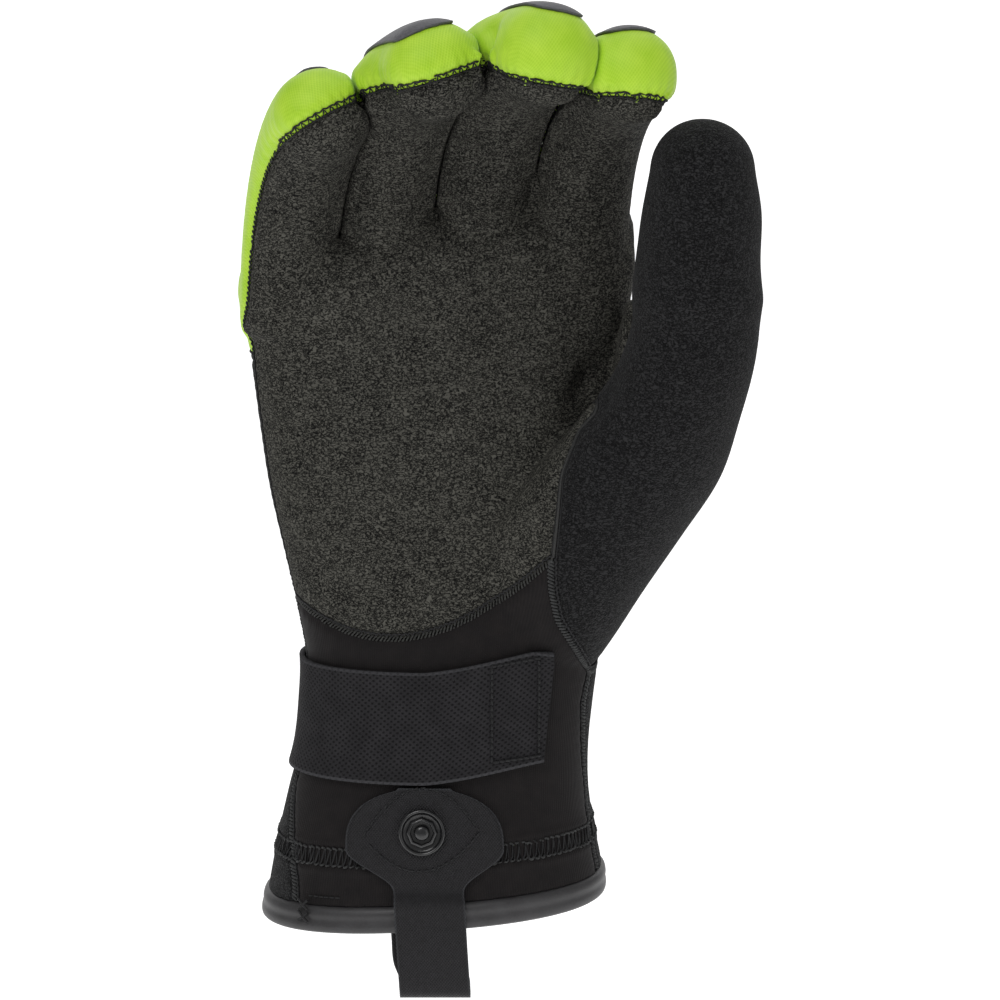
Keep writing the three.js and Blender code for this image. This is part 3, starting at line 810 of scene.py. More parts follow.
def thumb_sleeve():
    heights = np.linspace(THUMB["z"][0], THUMB["z"][-1], 90)
    rings = [oval_ring(THUMB, z, round_angles(72), THUMB_OVAL) for z in heights]
    top = rings[-1]
    centre = top.mean(0)
    for polar in np.radians(np.linspace(5, 88, 16)):
        lift = np.array([0, 0, THUMB_TIP * math.sin(polar)])
        rings.append(centre + (top - centre) * math.cos(polar) + lift)
    return add_surface("Thumb", capped(rings))


def slimming(share):
    """How much a finger is slimmed while the sleeves are made one, so that they stay apart."""
    return SLIM * fade(share, 0.0, 0.16)


def finger_sleeve(form):
    rings = [form.point(share, 0, round_angles(64), -slimming(share))
             for share in np.linspace(0, 1, 80)]
    rings += [form.point(1, polar, round_angles(64), -SLIM) for polar in np.linspace(5, 88, 16)]
    return add_surface(form.name, capped(rings))


def fill_fingers(form):
    """Fills the fingers out to their skin, with their humps, and presses neighbours together."""
    points = coordinates(form)
    facing = normals(form)
    nearest = nearest_finger(points)
    share, sideways, dorsal = finger_coordinates(points, nearest)
    points += facing * slimming(share)[:, None]
    for hump in HUMPS:
        angle = np.degrees(np.arctan2(dorsal, sideways)) - hump["angle"]
        angle = (angle + 180) % 360 - 180
        round_it = np.exp(-((angle / hump["spread"]) ** 2)) * (nearest == hump["finger"])
        swell = np.exp(-(((share - hump["share"]) / hump["length"]) ** 2))
        points += facing * (hump["rise"] * swell * round_it)[:, None]
    ends = edge_ends(form)
    points = relaxed(points, ends, (share > -0.08) & (share < 0.12), 14)
    for rounds in (3, 2):
        points = pressed_together(points, facing, nearest, share)
        points = relaxed(points, ends, share > -0.02, rounds)
    move_to(form, points)
    return nearest


def pressed_together(points, facing, nearest, share):
    """Moves the sides of neighbouring fingers half way to each other, where they face each other."""
    made = points.copy()
    for k in range(len(FINGER_FORMS)):
        for other in (k - 1, k + 1):
            if not 0 <= other < len(FINGER_FORMS):
                continue
            mine = np.flatnonzero((nearest == k) & (share > 0))
            theirs = np.flatnonzero((nearest == other) & (share > 0))
            tree = tree_of(points[theirs])
            found = [tree.find(p) for p in points[mine]]
            there = theirs[[hit[1] for hit in found]]
            way = points[there] - points[mine]
            apart = (way * facing[mine]).sum(1)
            opposed = fade(-(facing[there] * facing[mine]).sum(1), 0.0, 0.6)
            sideways = np.linalg.norm(way - apart[:, None] * facing[mine], axis=1)
            near = fade(-np.abs(apart), -PRESS_REACH, -PRESS_REACH / 2) * fade(-sideways, -4, -1.5)
            shift = (apart - CONTACT) / 2 * opposed * near * fade(share[mine], 0, 0.02)
            made[mine] += facing[mine] * shift[:, None]
    return made


def hand_form(grain):
    """The outside of the whole glove as one open shell."""
    parts = [hand_sleeve(), thumb_sleeve(), *[finger_sleeve(form) for form in FINGER_FORMS]]
    for x, y, z, *half in zip(*WEBS.values()):
        start()
        bpy.ops.mesh.primitive_uv_sphere_add(
            segments=24, ring_count=16, radius=MM, location=(x * MM, y * MM, z * MM))
        bpy.ops.transform.resize(value=half)
        bpy.ops.object.transform_apply(location=True, rotation=True, scale=True)
        parts.append(bpy.context.active_object)
    form = joined("Hand_form", parts)
    modify(form, "REMESH", mode="VOXEL", voxel_size=grain)
    modify(form, "SMOOTH", factor=0.5, iterations=6)
    rise = math.radians(MOUTH_RISE)

    def open_mouth():
        bpy.ops.mesh.bisect(
            plane_co=(0, 0, MOUTH_TOP * MM), plane_no=(-math.sin(rise), 0, math.cos(rise)),
            clear_inner=True)

    in_edit_mode(form, open_mouth)
    return form, fill_fingers(form)


def chained(pairs):
    """Edges as runs of vertices, each from one end to the other or round to its start."""
    beside = {}
    for a, b in pairs:
        beside.setdefault(a, []).append(b)
        beside.setdefault(b, []).append(a)
    runs = []
    for first in sorted(beside, key=lambda v: (len(beside[v]) == 2, v)):
        while beside[first]:
            run = [first]
            while beside[run[-1]]:
                following = beside[run[-1]].pop()
                beside[following].remove(run[-1])
                run.append(following)
            runs.append(run)
    return runs


def edge_ends(obj):
    ends = np.zeros(len(obj.data.edges) * 2, int)
    obj.data.edges.foreach_get("vertices", ends)
    return ends.reshape(-1, 2)


def panel_edges(obj, labels):
    """Edges between two panels: their vertices and the two panels, the lower one first."""
    edges, first, second = face_pairs(obj)
    sides = np.sort(np.stack([labels[first], labels[second]], 1), 1)
    apart = sides[:, 0] != sides[:, 1]
    return edge_ends(obj)[edges[apart]], sides[apart]


def without_crumbs(obj, labels):
    """Labels in which each panel is one piece: smaller pieces go to a panel beside them."""
    _, first, second = face_pairs(obj)
    group = np.arange(len(labels))
    same = labels[first] == labels[second]
    while True:
        low = np.minimum(group[first[same]], group[second[same]])
        before = group.copy()
        np.minimum.at(group, first[same], low)
        np.minimum.at(group, second[same], low)
        group = group[group]
        if (group == before).all():
            break
    names, sizes = np.unique(group, return_counts=True)
    size_of = dict(zip(names, sizes))
    main = {}
    for name in names:
        panel = labels[name]
        if panel not in main or size_of[name] > size_of[main[panel]]:
            main[panel] = name
    crumb = ~np.isin(group, list(main.values()))
    labels = labels.copy()
    while crumb.any():
        cross = crumb[first] != crumb[second]
        if not cross.any():
            break
        inner = np.where(crumb[first[cross]], first[cross], second[cross])
        outer = np.where(crumb[first[cross]], second[cross], first[cross])
        labels[inner] = labels[outer]
        crumb[inner] = False
    return labels


def onto_seams(obj, labels, fingers):
    """Moves the vertices between panels onto their seam and evens out the ones beside them."""
    points = coordinates(obj)
    facing = normals(obj)
    vertices, _, faces, _ = face_table(obj)
    touches = np.zeros((len(points), 5), bool)
    touches[vertices, labels[faces]] = True
    front = touches[:, PALM] | touches[:, CUFF]
    rear = touches[:, BACK] | touches[:, BACK_CUFF]
    which = np.full(len(points), "", object)
    which[touches[:, PALM] & touches[:, CUFF]] = "heel"
    which[touches[:, BACK] & touches[:, BACK_CUFF]] = "knuckles"
    which[front & rear] = "side"
    which[touches[:, THUMB_PANEL] & (front | rear)] = "thumb"
    moving = np.flatnonzero(which != "")
    step = 0.2
    for _ in range(3):
        base = points[moving]
        here = seam_fields(base, fingers[moving])
        ahead = [seam_fields(base + step * axis, fingers[moving]) for axis in np.eye(3)]
        value = np.array([here[name][k] for k, name in enumerate(which[moving])])
        slope = np.array([[field[name][k] for field in ahead] for k, name in enumerate(which[moving])])
        slope = (slope - value[:, None]) / step
        flat = slope - (slope * facing[moving]).sum(1)[:, None] * facing[moving]
        shift = flat * (value / np.maximum((flat * slope).sum(1), 0.2))[:, None]
        length = np.linalg.norm(shift, axis=1)
        points[moving] -= shift * np.minimum(1, 0.6 / np.maximum(length, 1e-9))[:, None]
    ends = edge_ends(obj)
    near = np.zeros(len(points), bool)
    near[moving] = True
    for _ in range(2):
        near[ends[near[ends].any(1)]] = True
    near[moving] = False
    points = relaxed(points, ends, near, 4)
    move_to(obj, points)


def relaxed(points, ends, moving, rounds):
    """Moves the marked vertices to the middle of those beside them, a few times."""
    for _ in range(rounds):
        total = np.zeros_like(points)
        count = np.zeros(len(points))
        for a, b in ((0, 1), (1, 0)):
            np.add.at(total, ends[:, a], points[ends[:, b]])
            np.add.at(count, ends[:, a], 1)
        middle = total / np.maximum(count, 1)[:, None]
        points = np.where(moving[:, None], (points + middle) / 2, points)
    return points


def cloth_coordinates(points, fingers, rear):
    """Places on the cloth, in metres: round the hand and along it, carried on over each finger's tip."""
    x, y, z = points.T
    share, sideways, dorsal = finger_coordinates(points, fingers)
    row = section(HAND, z)
    middle = (row["left"] + row["right"]) / 2
    turn = np.arctan2(x - middle, -(y - (row["front"] + row["back"]) / 2))
    around = np.where(rear, x, turn * 40)

    def of_finger(key):
        return np.array([getattr(form, key) for form in FINGER_FORMS])[fingers]

    radius = of_finger("depth") / 2
    finger_around = of_finger("x") + radius * np.arcsin(np.clip(sideways / (radius + 1.5), -1, 1))
    forward = np.maximum(0, share - 1) * of_finger("length") * radius / of_finger("tip")
    over_tip = 1.2 * radius * np.arctan2(forward, np.maximum(dorsal + 0.8 * radius, 1.0))
    finger_up = of_finger("z") + of_finger("length") * np.minimum(share, 1) + over_tip
    in_finger = fade(share, -0.05, 0.1) * rear
    across = around + (finger_around - around) * in_finger
    along = z + (finger_up - z) * in_finger
    return np.stack([across * MM, along * MM, np.zeros(len(points))], 1)


def drawn_in(obj, fingers, seam_points, seam_places):
    """Draws the panels in along their seams, puckers them beside it and makes the cloth uneven."""
    sizes = properties()
    points = coordinates(obj)
    facing = normals(obj)
    tree = tree_of(seam_points)
    found = [tree.find(p) for p in points]
    away = np.array([hit[2] for hit in found])
    place = seam_places[[hit[1] for hit in found]]
    share = finger_coordinates(points, fingers)[0]
    x, y, z = points.T
    on_palm = fade(-facing[:, 1], 0.0, 0.5) * (share < 0.3)
    for k in range(len(PALM_FORMS["x"])):
        form = {key: values[k] for key, values in PALM_FORMS.items()}
        slant = math.radians(form["slant"])
        dx, dz = x - form["x"], z - form["z"]
        across = (dx * math.cos(slant) + dz * math.sin(slant)) / form["width"]
        up = (dz * math.cos(slant) - dx * math.sin(slant)) / form["height"]
        points += facing * (form["rise"] * on_palm * np.exp(-across**2 - up**2))[:, None]
    below = (z - COVER_SEAM["z"] - COVER_SEAM["slope"] * x) / (COVER_SEAM["height"] / 2)
    round_hand = np.arctan2(y, x) * 38
    ruffle = np.sin(round_hand * 2 * np.pi / COVER_SEAM["pitch"] + 2 * np.sin(round_hand / 7))
    ruffled = np.exp(-((np.abs(below) / 1.15) ** 6))
    points += facing * ((0.22 * ruffle - 0.25) * ruffled)[:, None]
    points += facing * (0.3 * np.exp(-((np.abs(below) - 1.6) ** 2) / 0.15))[:, None]
    tip = fade(share, 0.6, 0.95)
    pinch = sizes.pinch / MM * (1 + 0.5 * tip)
    shift = -pinch * np.exp(-((away / (1.6 + 0.8 * tip)) ** 2))
    wave = np.sin(place * 2 * np.pi / 3.3 + 1.3 * np.sin(place / 5.1) + np.sin(place / 2.3))
    shift += sizes.pucker / MM * (0.35 + 0.9 * tip) * wave * np.exp(-away / 3.2) * (1 - np.exp(-away))
    move_to(obj, points + facing * shift[:, None])


class Seam:
    """A seam between two panels: a smoothed path, its normals, and the side the second panel is on."""

    def __init__(self, low, high, path, facing, high_tree):
        self.low, self.high = low, high
        for _ in range(5):
            middle = (path[:-2] + 2 * path[1:-1] + path[2:]) / 4
            path = np.concatenate([path[:1], middle, path[-1:]])
            middle = (facing[:-2] + 2 * facing[1:-1] + facing[2:]) / 4
            facing = np.concatenate([facing[:1], middle, facing[-1:]])
        self.path, self.facing = path, facing
        self.length = length_along(path)
        self.side = 1.0
        place, _, across, _ = self.at(np.arange(1, self.length[-1] - 1, 3.0))
        ahead, behind = ([high_tree.find(p)[2] for p in place + across * way] for way in (1, -1))
        self.side = 1.0 if sum(ahead) < sum(behind) else -1.0

    def at(self, length):
        """Places, and the directions along it, across it to the second panel, and outwards."""
        def read_off(table_, at):
            return np.stack([np.interp(at, self.length, column) for column in table_.T], 1)

        place = read_off(self.path, length)
        along = read_off(self.path, length + 0.8) - read_off(self.path, length - 0.8)
        along /= np.maximum(np.linalg.norm(along, axis=1), 1e-6)[:, None]
        across = np.cross(read_off(self.facing, length), along)
        across /= np.maximum(np.linalg.norm(across, axis=1), 1e-6)[:, None]
        return place, along * self.side, across * self.side, np.cross(along, across)


def inside_wall(form, points, facing, outside):
    """The wall's inner side, a thickness in from the outside, smoother than it, and never through it."""
    ends = edge_ends(form)
    everywhere = np.ones(len(points), bool)
    smooth = relaxed(points, ends, everywhere, 6)
    inward = relaxed(facing, ends, everywhere, 14)
    length = np.linalg.norm(inward, axis=1)
    inward /= np.maximum(length, 0.3)[:, None]
    wall = smooth - inward * (properties().wall / MM)
    for k, (start_at, way) in enumerate(zip(points, wall - points)):
        depth = float(np.linalg.norm(way))
        ray = Vector(way / max(depth, 1e-6))
        begin = Vector(start_at * MM) + ray * 0.05 * MM
        hit = outside.ray_cast(begin, ray, 2 * depth * MM)[3]
        if hit is not None and hit < 2 * depth * MM:
            wall[k] = start_at + np.array(ray) * min(depth, 0.45 * hit / MM)
    return wall


def evened_runs(form, runs):
    """Evens the seams along themselves, and the cloth beside them, and gives the vertices back."""
    points = coordinates(form)
    ends = edge_ends(form)
    on_seam = np.zeros(len(points), bool)
    for run in runs:
        on_seam[run] = True
        for _ in range(6):
            points[run[1:-1]] = (points[run[:-2]] + 2 * points[run[1:-1]] + points[run[2:]]) / 4
    beside = on_seam.copy()
    for _ in range(2):
        beside[ends[beside[ends].any(1)]] = True
    points = relaxed(points, ends, beside & ~on_seam, 5)
    move_to(form, points)
    return points


# The panels in the order of their labels, with their slots
PANEL_SLOTS = {
    "Palm_panel": "grip_fabric", "Back_panel": "lime_neoprene", "Thumb_panel": "plush_knit",
    "Cuff_panel": "smooth_neoprene", "Back_cuff_panel": "plush_knit",
}
PANEL_GAP = 0.15


def make_panels():
    """The five neoprene panels, with the outside kept for what lies on it."""
    sizes = properties()
    form, fingers = hand_form(sizes.grain)
    vertices, _, faces, totals = face_table(form)
    face_fingers = np.zeros(len(totals), int)
    face_fingers[faces] = fingers[vertices]
    labels = without_crumbs(form, panel_of(seam_fields(face_middles(form), face_fingers)))
    onto_seams(form, labels, fingers)

    ends, sides = panel_edges(form, labels)
    seams = []
    for low, high in sorted({tuple(pair) for pair in sides.tolist()}):
        chosen = ends[(sides == (low, high)).all(1)]
        seams += [(low, high, run) for run in chained(chosen.tolist()) if len(run) > 8]
    points = evened_runs(form, [run for _, _, run in seams])
    paths = [points[run] for _, _, run in seams]
    drawn_in(form, fingers, np.concatenate(paths), np.concatenate([length_along(path) for path in paths]))

    points = coordinates(form)
    facing = normals(form)
    middle = face_middles(form)
    trees = {panel: tree_of(middle[labels == panel]) for panel in range(5)}
    FORM["seams"] = [Seam(low, high, points[run], facing[run], trees[high]) for low, high, run in seams]
    FORM["outside"] = BVHTree.FromObject(form, bpy.context.evaluated_depsgraph_get())
    rear = np.zeros(len(points), bool)
    rear[vertices[np.isin(labels[faces], (BACK, BACK_CUFF))]] = True
    store(form, "cloth", cloth_coordinates(points, fingers, rear))
    store(form, "inside", inside_wall(form, points, facing, FORM["outside"]))

    form.data.materials.clear()
    for name in PANEL_SLOTS:
        form.data.materials.append(bpy.data.materials.new(name))
    form.data.polygons.foreach_set("material_index", labels)
    only(form)
    bpy.ops.object.mode_set(mode="EDIT")
    bpy.ops.mesh.select_all(action="SELECT")
    bpy.ops.mesh.separate(type="MATERIAL")
    bpy.ops.object.mode_set(mode="OBJECT")
    pieces = {obj.material_slots[obj.data.polygons[0].material_index].name: obj
              for obj in bpy.context.selected_objects}
    for name, slot in PANEL_SLOTS.items():
        piece = pieces[name]
        piece.name = name
        piece.data.name = name
        piece.data.polygons.foreach_set("material_index", np.zeros(len(piece.data.polygons), int))
        edge_back(piece, PANEL_GAP)
        dress(piece, slot, "lining")
        inside = stored(piece, "inside")
        modify(piece, "SOLIDIFY", thickness=sizes.wall, offset=-1, material_offset=1)
        outside = coordinates(piece)[:len(inside)]
        move_to(piece, np.concatenate([outside, inside]))
        piece.data.attributes.remove(piece.data.attributes["inside"])
        finished(piece, nodes=[name.lower()])
        FORM[name] = piece


def edge_back(obj, distance):
    """Moves the open edge of a panel back by a distance, within its own surface."""
    points = coordinates(obj)
    ends = edge_ends(obj)
    _, edges, _, _ = face_table(obj)
    open_edges = np.bincount(edges, minlength=len(ends)) == 1
    border = np.zeros(len(points), bool)
    border[ends[open_edges]] = True
    total = np.zeros_like(points)
    count = np.zeros(len(points))
    for a, b in ((0, 1), (1, 0)):
        inward = ~border[ends[:, b]]
        np.add.at(total, ends[inward, a], points[ends[inward, b]])
        np.add.at(count, ends[inward, a], 1)
    usable = border & (count > 0)
    away = total[usable] / count[usable, None] - points[usable]
    points[usable] += away * (distance / np.maximum(np.linalg.norm(away, axis=1), 0.3))[:, None]
    move_to(obj, points)


class GLOVE_OT_panels(bpy.types.Operator):
    """Models the palm, back, thumb and cuff panels over the hand form"""
    bl_idname = "glove.panels"
    bl_label = "Neoprene Panels"

    def execute(self, context):
        make_panels()
        return {"FINISHED"}


def smooth_rows(rows, count):
    """Rows of points carried on smoothly to count rows, evenly spaced along the middle column."""
    middle = rows[:, rows.shape[1] // 2]
    length = length_along(middle)
    at = np.linspace(0, length[-1], count)
    flat = rows.reshape(len(rows), -1)
    made = np.stack([along_curve(at, length, column) for column in flat.T], 1)
    return made.reshape(count, *rows.shape[1:])


class GLOVE_OT_seal(bpy.types.Operator):
    """Models the rubbery rim bound round the cuff's mouth"""
    bl_idname = "glove.seal"
    bl_label = "Rim Seal"

    def execute(self, context):
        top, bottom = MOUTH_TOP - 0.2, SEAL["bottom"]
        outline = [
            (top, -0.2), (top - 0.7, 0.75), (top - 1.9, 1.15), ((top + bottom) / 2, 0.95),
            (bottom + 1.8, 1.15), (bottom + 0.6, 0.8), (bottom, 0.0), (bottom - 0.25, -1.4),
            (bottom + 0.1, -2.9), (bottom + 1.2, -3.4), (top - 1, -3.4), (top, -3.1),
        ]
        outline = smooth_rows(np.array([[(z, out, 0)] for z, out in [*outline, outline[0]]]), 40)[:, 0]
        rows = []
        for z, out, _ in outline:
            row = {key: np.interp(z, HAND["z"], HAND[key]) for key in ("left", "right", "front", "back")}
            level = {key: np.array([value, value]) for key, value in row.items()}
            level.update(z=np.array([z - 1, z + 1]), rise=np.array([MOUTH_RISE, MOUTH_RISE]))
            rows.append(wrapped(oval_ring(level, z, round_angles(200), HAND_OVAL, out)))
        rim = add_surface("Rim_seal", np.stack(rows))
        dress(rim, "edge_rubber")
        finished(rim, nodes=["rim_seal"])
        return {"FINISHED"}


class GLOVE_OT_strap(bpy.types.Operator):
    """Models the elastic wrist strap, sewn down on the palm side"""
    bl_idname = "glove.strap"
    bl_label = "Wrist Strap"

    def execute(self, context):
        columns, rows = 220, 28
        angles = np.radians(np.linspace(STRAP["start"], STRAP["end"], columns))
        heights = STRAP["height"] * np.linspace(-0.5, 0.5, rows)
        points = np.zeros((rows, columns, 3))
        level = {**HAND, "rise": 0 * HAND["rise"]}
        for r, z in enumerate(heights):
            ring = oval_ring(level, z, angles, HAND_OVAL, STRAP["clear"])
            sewn = np.maximum(0, (ring[:, 0] - STRAP["rises_at"]) / STRAP["rise_over"]) ** 1.4
            lifted = z + STRAP["lift"] * np.maximum(0, -np.sin(angles)) * sewn
            ring = oval_ring(level, lifted, angles, HAND_OVAL, STRAP["clear"])
            points[r] = [lifted_off(place, FORM["outside"], STRAP["clear"]) for place in ring]
        points = evened(points, 6)
        strap = add_surface("Wrist_strap", points)
        turned_out(strap, (2, 0, 0))
        FORM["strap"] = BVHTree.FromObject(strap, context.evaluated_depsgraph_get())
        place = np.stack([
            np.broadcast_to(length_along(points[rows // 2]), (rows, columns)),
            np.broadcast_to(heights[:, None], (rows, columns)),
            np.broadcast_to(np.abs(heights)[:, None], (rows, columns)),
        ], -1).reshape(-1, 3) * MM
        store(strap, "cloth", place)
        modify(strap, "SOLIDIFY", thickness=STRAP["thickness"] * MM, offset=1)
        dress(strap, "elastic_web")
        finished(strap, nodes=["wrist_strap"])
        return {"FINISHED"}


def evened(points, rounds):
    """Rows and columns of points with each inner one moved towards those beside it."""
    made = points.copy()
    for _ in range(rounds):
        beside = made[:-2, 1:-1] + made[2:, 1:-1] + made[1:-1, :-2] + made[1:-1, 2:]
        made[1:-1, 1:-1] = (made[1:-1, 1:-1] + beside / 4) / 2
    return made


def lifted_off(place, surface, lift):
    """A point moved out, if it needs it, to lie at least lift millimetres off a surface."""
    near, normal = nearest_on(surface, place)
    return place + normal * max(0, lift - (place - near) @ normal)


def turned_out(obj, centre):
    """Turns the faces of an open sheet so that they look away from a point, in millimetres."""
    outward = coordinates(obj) - np.array(centre)
    if (normals(obj) * outward).sum() < 0:
        in_edit_mode(obj, bpy.ops.mesh.flip_normals)


# Pull tab

TAB = {"thickness": 1.1, "width": 18.9, "broad": 21, "middle": -4.2, "top_x": -3.1, "bottom_x": -1.4,
       "fold_z": -72.0, "slip": 1.5}
TAB_FRONT = ((-46, 0, 1), (-50, -0.1, 1), (-54, -0.1, 0.7), (-60, 0.3, 0.3), (-66, 0.9, 0))
TAB_BACK = ((-64, 1.2, 0), (-57, 1.3, 0.3), (-52, 1, 1), (-46, 0.8, 1))
TAB_INSIDE = (-38, -30)


def tab_rows(columns):
    """The tab's middle surface, row by row: broad end, strap outside, fold, and strap inside."""
    spread = np.linspace(0, 1, columns)
    clear = 0.5 + TAB["thickness"] / 2

    def strap_x(z):
        share = (z - TAB_NECK) / (TAB["fold_z"] - TAB_NECK)
        return TAB["top_x"] + (TAB["bottom_x"] - TAB["top_x"]) * share

    def seal_face(x):
        return palm_face(x, MOUTH_TOP, clear + SEAL["proud"])

    def strap_row(z, y, bow):
        x = strap_x(z) + TAB["width"] * (spread - 0.5)
        depth = y + bow * (seal_face(x) - seal_face(strap_x(z)))
        return np.stack([x, depth + 0 * x, z + 0 * x], 1)

    rows = []
    for z in np.linspace(TAB_TOP, TAB_NECK, 34):
        over = max(0.0, (z - TAB_BROADEST) / (TAB_TOP - TAB_BROADEST))
        half = TAB["broad"] * max(0.33, (1 - over**2.5) ** (1 / 2.1))
        neck = float(fade(-z, -TAB_BROADEST + 1, -TAB_NECK))
        half += (TAB["width"] / 2 - half) * neck
        x = TAB["middle"] + (TAB["top_x"] - TAB["middle"]) * neck + 2 * half * (spread - 0.5)
        rows.append(np.stack([x, palm_face(x, z, clear), z + 0 * x], 1))
    outside = float(palm_face(TAB["top_x"], SEAL["bottom"] + 2, clear + SEAL["proud"]))
    inside = float(palm_face(TAB["top_x"], MOUTH_TOP, -SEAL["inner"])) + clear
    rows += [strap_row(z, outside + behind, bow) for z, behind, bow in TAB_FRONT]
    front_y, back_y = outside + 1.3, inside + 0.6
    radius = (back_y - front_y) / 2
    for turn in np.radians([0, 35, 70, 110, 145, 180]):
        z = TAB["fold_z"] + radius - radius * math.sin(turn)
        rows.append(strap_row(z, (front_y + back_y) / 2 - radius * math.cos(turn), 0))
    for z, behind, bow in TAB_BACK:
        row = strap_row(z, inside + behind, bow)
        row[:, 0] -= TAB["slip"] * fade(z, TAB["fold_z"], -62)
        rows.append(row)
    for z in TAB_INSIDE:
        row = strap_row(z, 0, 0)
        row[:, 0] -= TAB["slip"]
        row[:, 1] = palm_face(row[:, 0], z, -3 - clear)
        rows.append(row)
    return np.stack(rows)


class GLOVE_OT_tab(bpy.types.Operator):
    """Models the pull tab, with its strap folded into a hanging loop"""
    bl_idname = "glove.tab"
    bl_label = "Pull Tab"

    def execute(self, context):
        columns = 29
        points = smooth_rows(tab_rows(columns), 150)
        tab = add_surface("Pull_tab", points)
        along = length_along(points[:, columns // 2])
        across = points[:, :, 0] - points[:, columns // 2, 0][:, None]
        to_side = np.minimum(points[:, :, 0] - points[:, :1, 0], points[:, -1:, 0] - points[:, :, 0])
        to_edge = np.minimum(to_side, along[:, None])
        place = np.stack([across, np.broadcast_to(along[:, None], across.shape), to_edge], -1)
        store(tab, "cloth", place.reshape(-1, 3) * MM)
        modify(tab, "SOLIDIFY", thickness=TAB["thickness"] * MM, offset=0)
        FORM["tab"] = BVHTree.FromObject(tab, context.evaluated_depsgraph_get())
        dress(tab, "coated_fabric")
        finished(tab, nodes=["pull_tab"])
        return {"FINISHED"}


# Snap stud

SNAP = {"x": -4.9, "z": -27.1, "tilt": 9, "out": 1.85}


def lathe(name, outline, steps):
    """A profile of (radius, height) points in millimetres spun round the Z axis."""
    start()
    bpy.ops.mesh.primitive_plane_add(size=1)
    obj = bpy.context.active_object
    obj.name = name
    bpy.ops.object.mode_set(mode="EDIT")
    bpy.ops.mesh.select_all(action="SELECT")
    bpy.ops.mesh.merge(type="CENTER")
    bpy.ops.object.mode_set(mode="OBJECT")
    obj.data.vertices[0].co = (outline[0][0] * MM, 0, outline[0][1] * MM)
    bpy.ops.object.mode_set(mode="EDIT")
    bpy.ops.mesh.select_all(action="SELECT")
    for (r0, h0), (r1, h1) in zip(outline, outline[1:]):
        bpy.ops.mesh.extrude_region_move(
            TRANSFORM_OT_translate={"value": ((r1 - r0) * MM, 0, (h1 - h0) * MM)})
    bpy.ops.mesh.select_all(action="SELECT")
    bpy.ops.mesh.spin(steps=steps, angle=2 * math.pi, center=(0, 0, 0), axis=(0, 0, 1))
    bpy.ops.mesh.select_all(action="SELECT")
    bpy.ops.mesh.remove_doubles(threshold=1e-6)
    bpy.ops.mesh.normals_make_consistent(inside=False)
    bpy.ops.object.mode_set(mode="OBJECT")
    return obj


class GLOVE_OT_snap(bpy.types.Operator):
    """Models the moulded snap stud on the tab"""
    bl_idname = "glove.snap"
    bl_label = "Snap Stud"

    def execute(self, context):
        flange = lathe("Snap_stud", [
            (0, 0), (5.9, 0), (6.2, 0.2), (6.25, 0.7), (6.15, 1.1), (5.9, 1.3), (5.6, 1.3),
            (5.3, 1.1), (5.1, 0.75), (4.6, 0.6), (0, 0.6)], 64)
        collar = lathe("Collar", [
            (3.0, 0.4), (4.1, 0.4), (4.15, 1.3), (4.0, 1.6), (3.7, 1.85), (3.4, 1.9), (3.2, 1.75),
            (3.1, 1.4), (3.0, 0.4)], 8)
        modify(collar, "BEVEL", width=0.25 * MM, segments=3, limit_method="ANGLE", angle_limit=0.6)
        post = lathe("Post", [
            (0, 0.4), (2.0, 0.4), (2.05, 1.5), (1.95, 1.9), (1.6, 2.3), (1.1, 2.48), (0, 2.5)], 32)
        snap = joined("Snap_stud", [flange, collar, post])
        y = float(palm_face(SNAP["x"], SNAP["z"], SNAP["out"]))
        snap.matrix_world = Matrix.Translation((SNAP["x"] * MM, y * MM, SNAP["z"] * MM)) @ facing_palm()
        dress(snap, "snap_plastic")
        finished(snap, nodes=["snap_stud"])
        return {"FINISHED"}


def facing_palm():
    """Turns a piece whose top is +Z towards the palm, tilted with the cuff."""
    return Matrix.Rotation(math.radians(90 - SNAP["tilt"]), 4, "X")


# Fingertip pads, in the order of the fingers: from a share of the finger to an angle over its tip, and
# a middle and a half angle round it from its thumb side

PADS = [dict(zip("from dome middle half".split(), row)) for row in (
    (0.58, 2, 66, 27), (0.6, 26, 90, 37), (0.6, 25, 87, 29), (0.6, 24, 96, 32),
)]


class GLOVE_OT_pads(bpy.types.Operator):
    """Models the smooth pads on the four fingertips"""
    bl_idname = "glove.pads"
    bl_label = "Fingertip Pads"

    def execute(self, context):
        for form, place in zip(FINGER_FORMS, PADS):
            rows, columns = 40, 40
            points = np.zeros((rows, columns, 3))
            for r, at in enumerate(np.linspace(0, 1, rows)):
                reach = place["from"] + (1 + place["dome"] / 90 - place["from"]) * at
                ends = math.sqrt(max(0.08, 1 - abs(2 * at - 1) ** 3))
                angles = np.radians(place["middle"] + place["half"] * ends * np.linspace(1, -1, columns))
                points[r] = form.point(min(1, reach), max(0, reach - 1) * 90, angles, 0.3)
            points = laid_on(points, FORM["outside"], 0.15)
            pad = add_surface(f"{form.name.title()}_pad", points)
            turned_out(pad, form.centre[-1])
            modify(pad, "SOLIDIFY", thickness=0.7 * MM, offset=1)
            dress(pad, "pad_film")
            finished(pad, nodes=[f"{form.name}_pad"])
        return {"FINISHED"}


def laid_on(points, surface, lift):
    """Points moved to lie lift millimetres off the nearest place on a surface."""
    made = points.copy()
    for index in np.ndindex(points.shape[:-1]):
        near, normal = nearest_on(surface, points[index])
        made[index] = near + normal * lift
    return made


# Threads and stitching

SEAM_ROPE = {"pitch": 1.0, "reach": 0.8, "loop_pitch": 1.45, "loop_aside": -0.9}
EDGE_LACE = {"pitch": 2.1, "depth": 1.35, "tight_pitch": 1.45}
# Left of this the lace runs tight down the outside of the little finger and the hand
OUTER_SIDE = -41
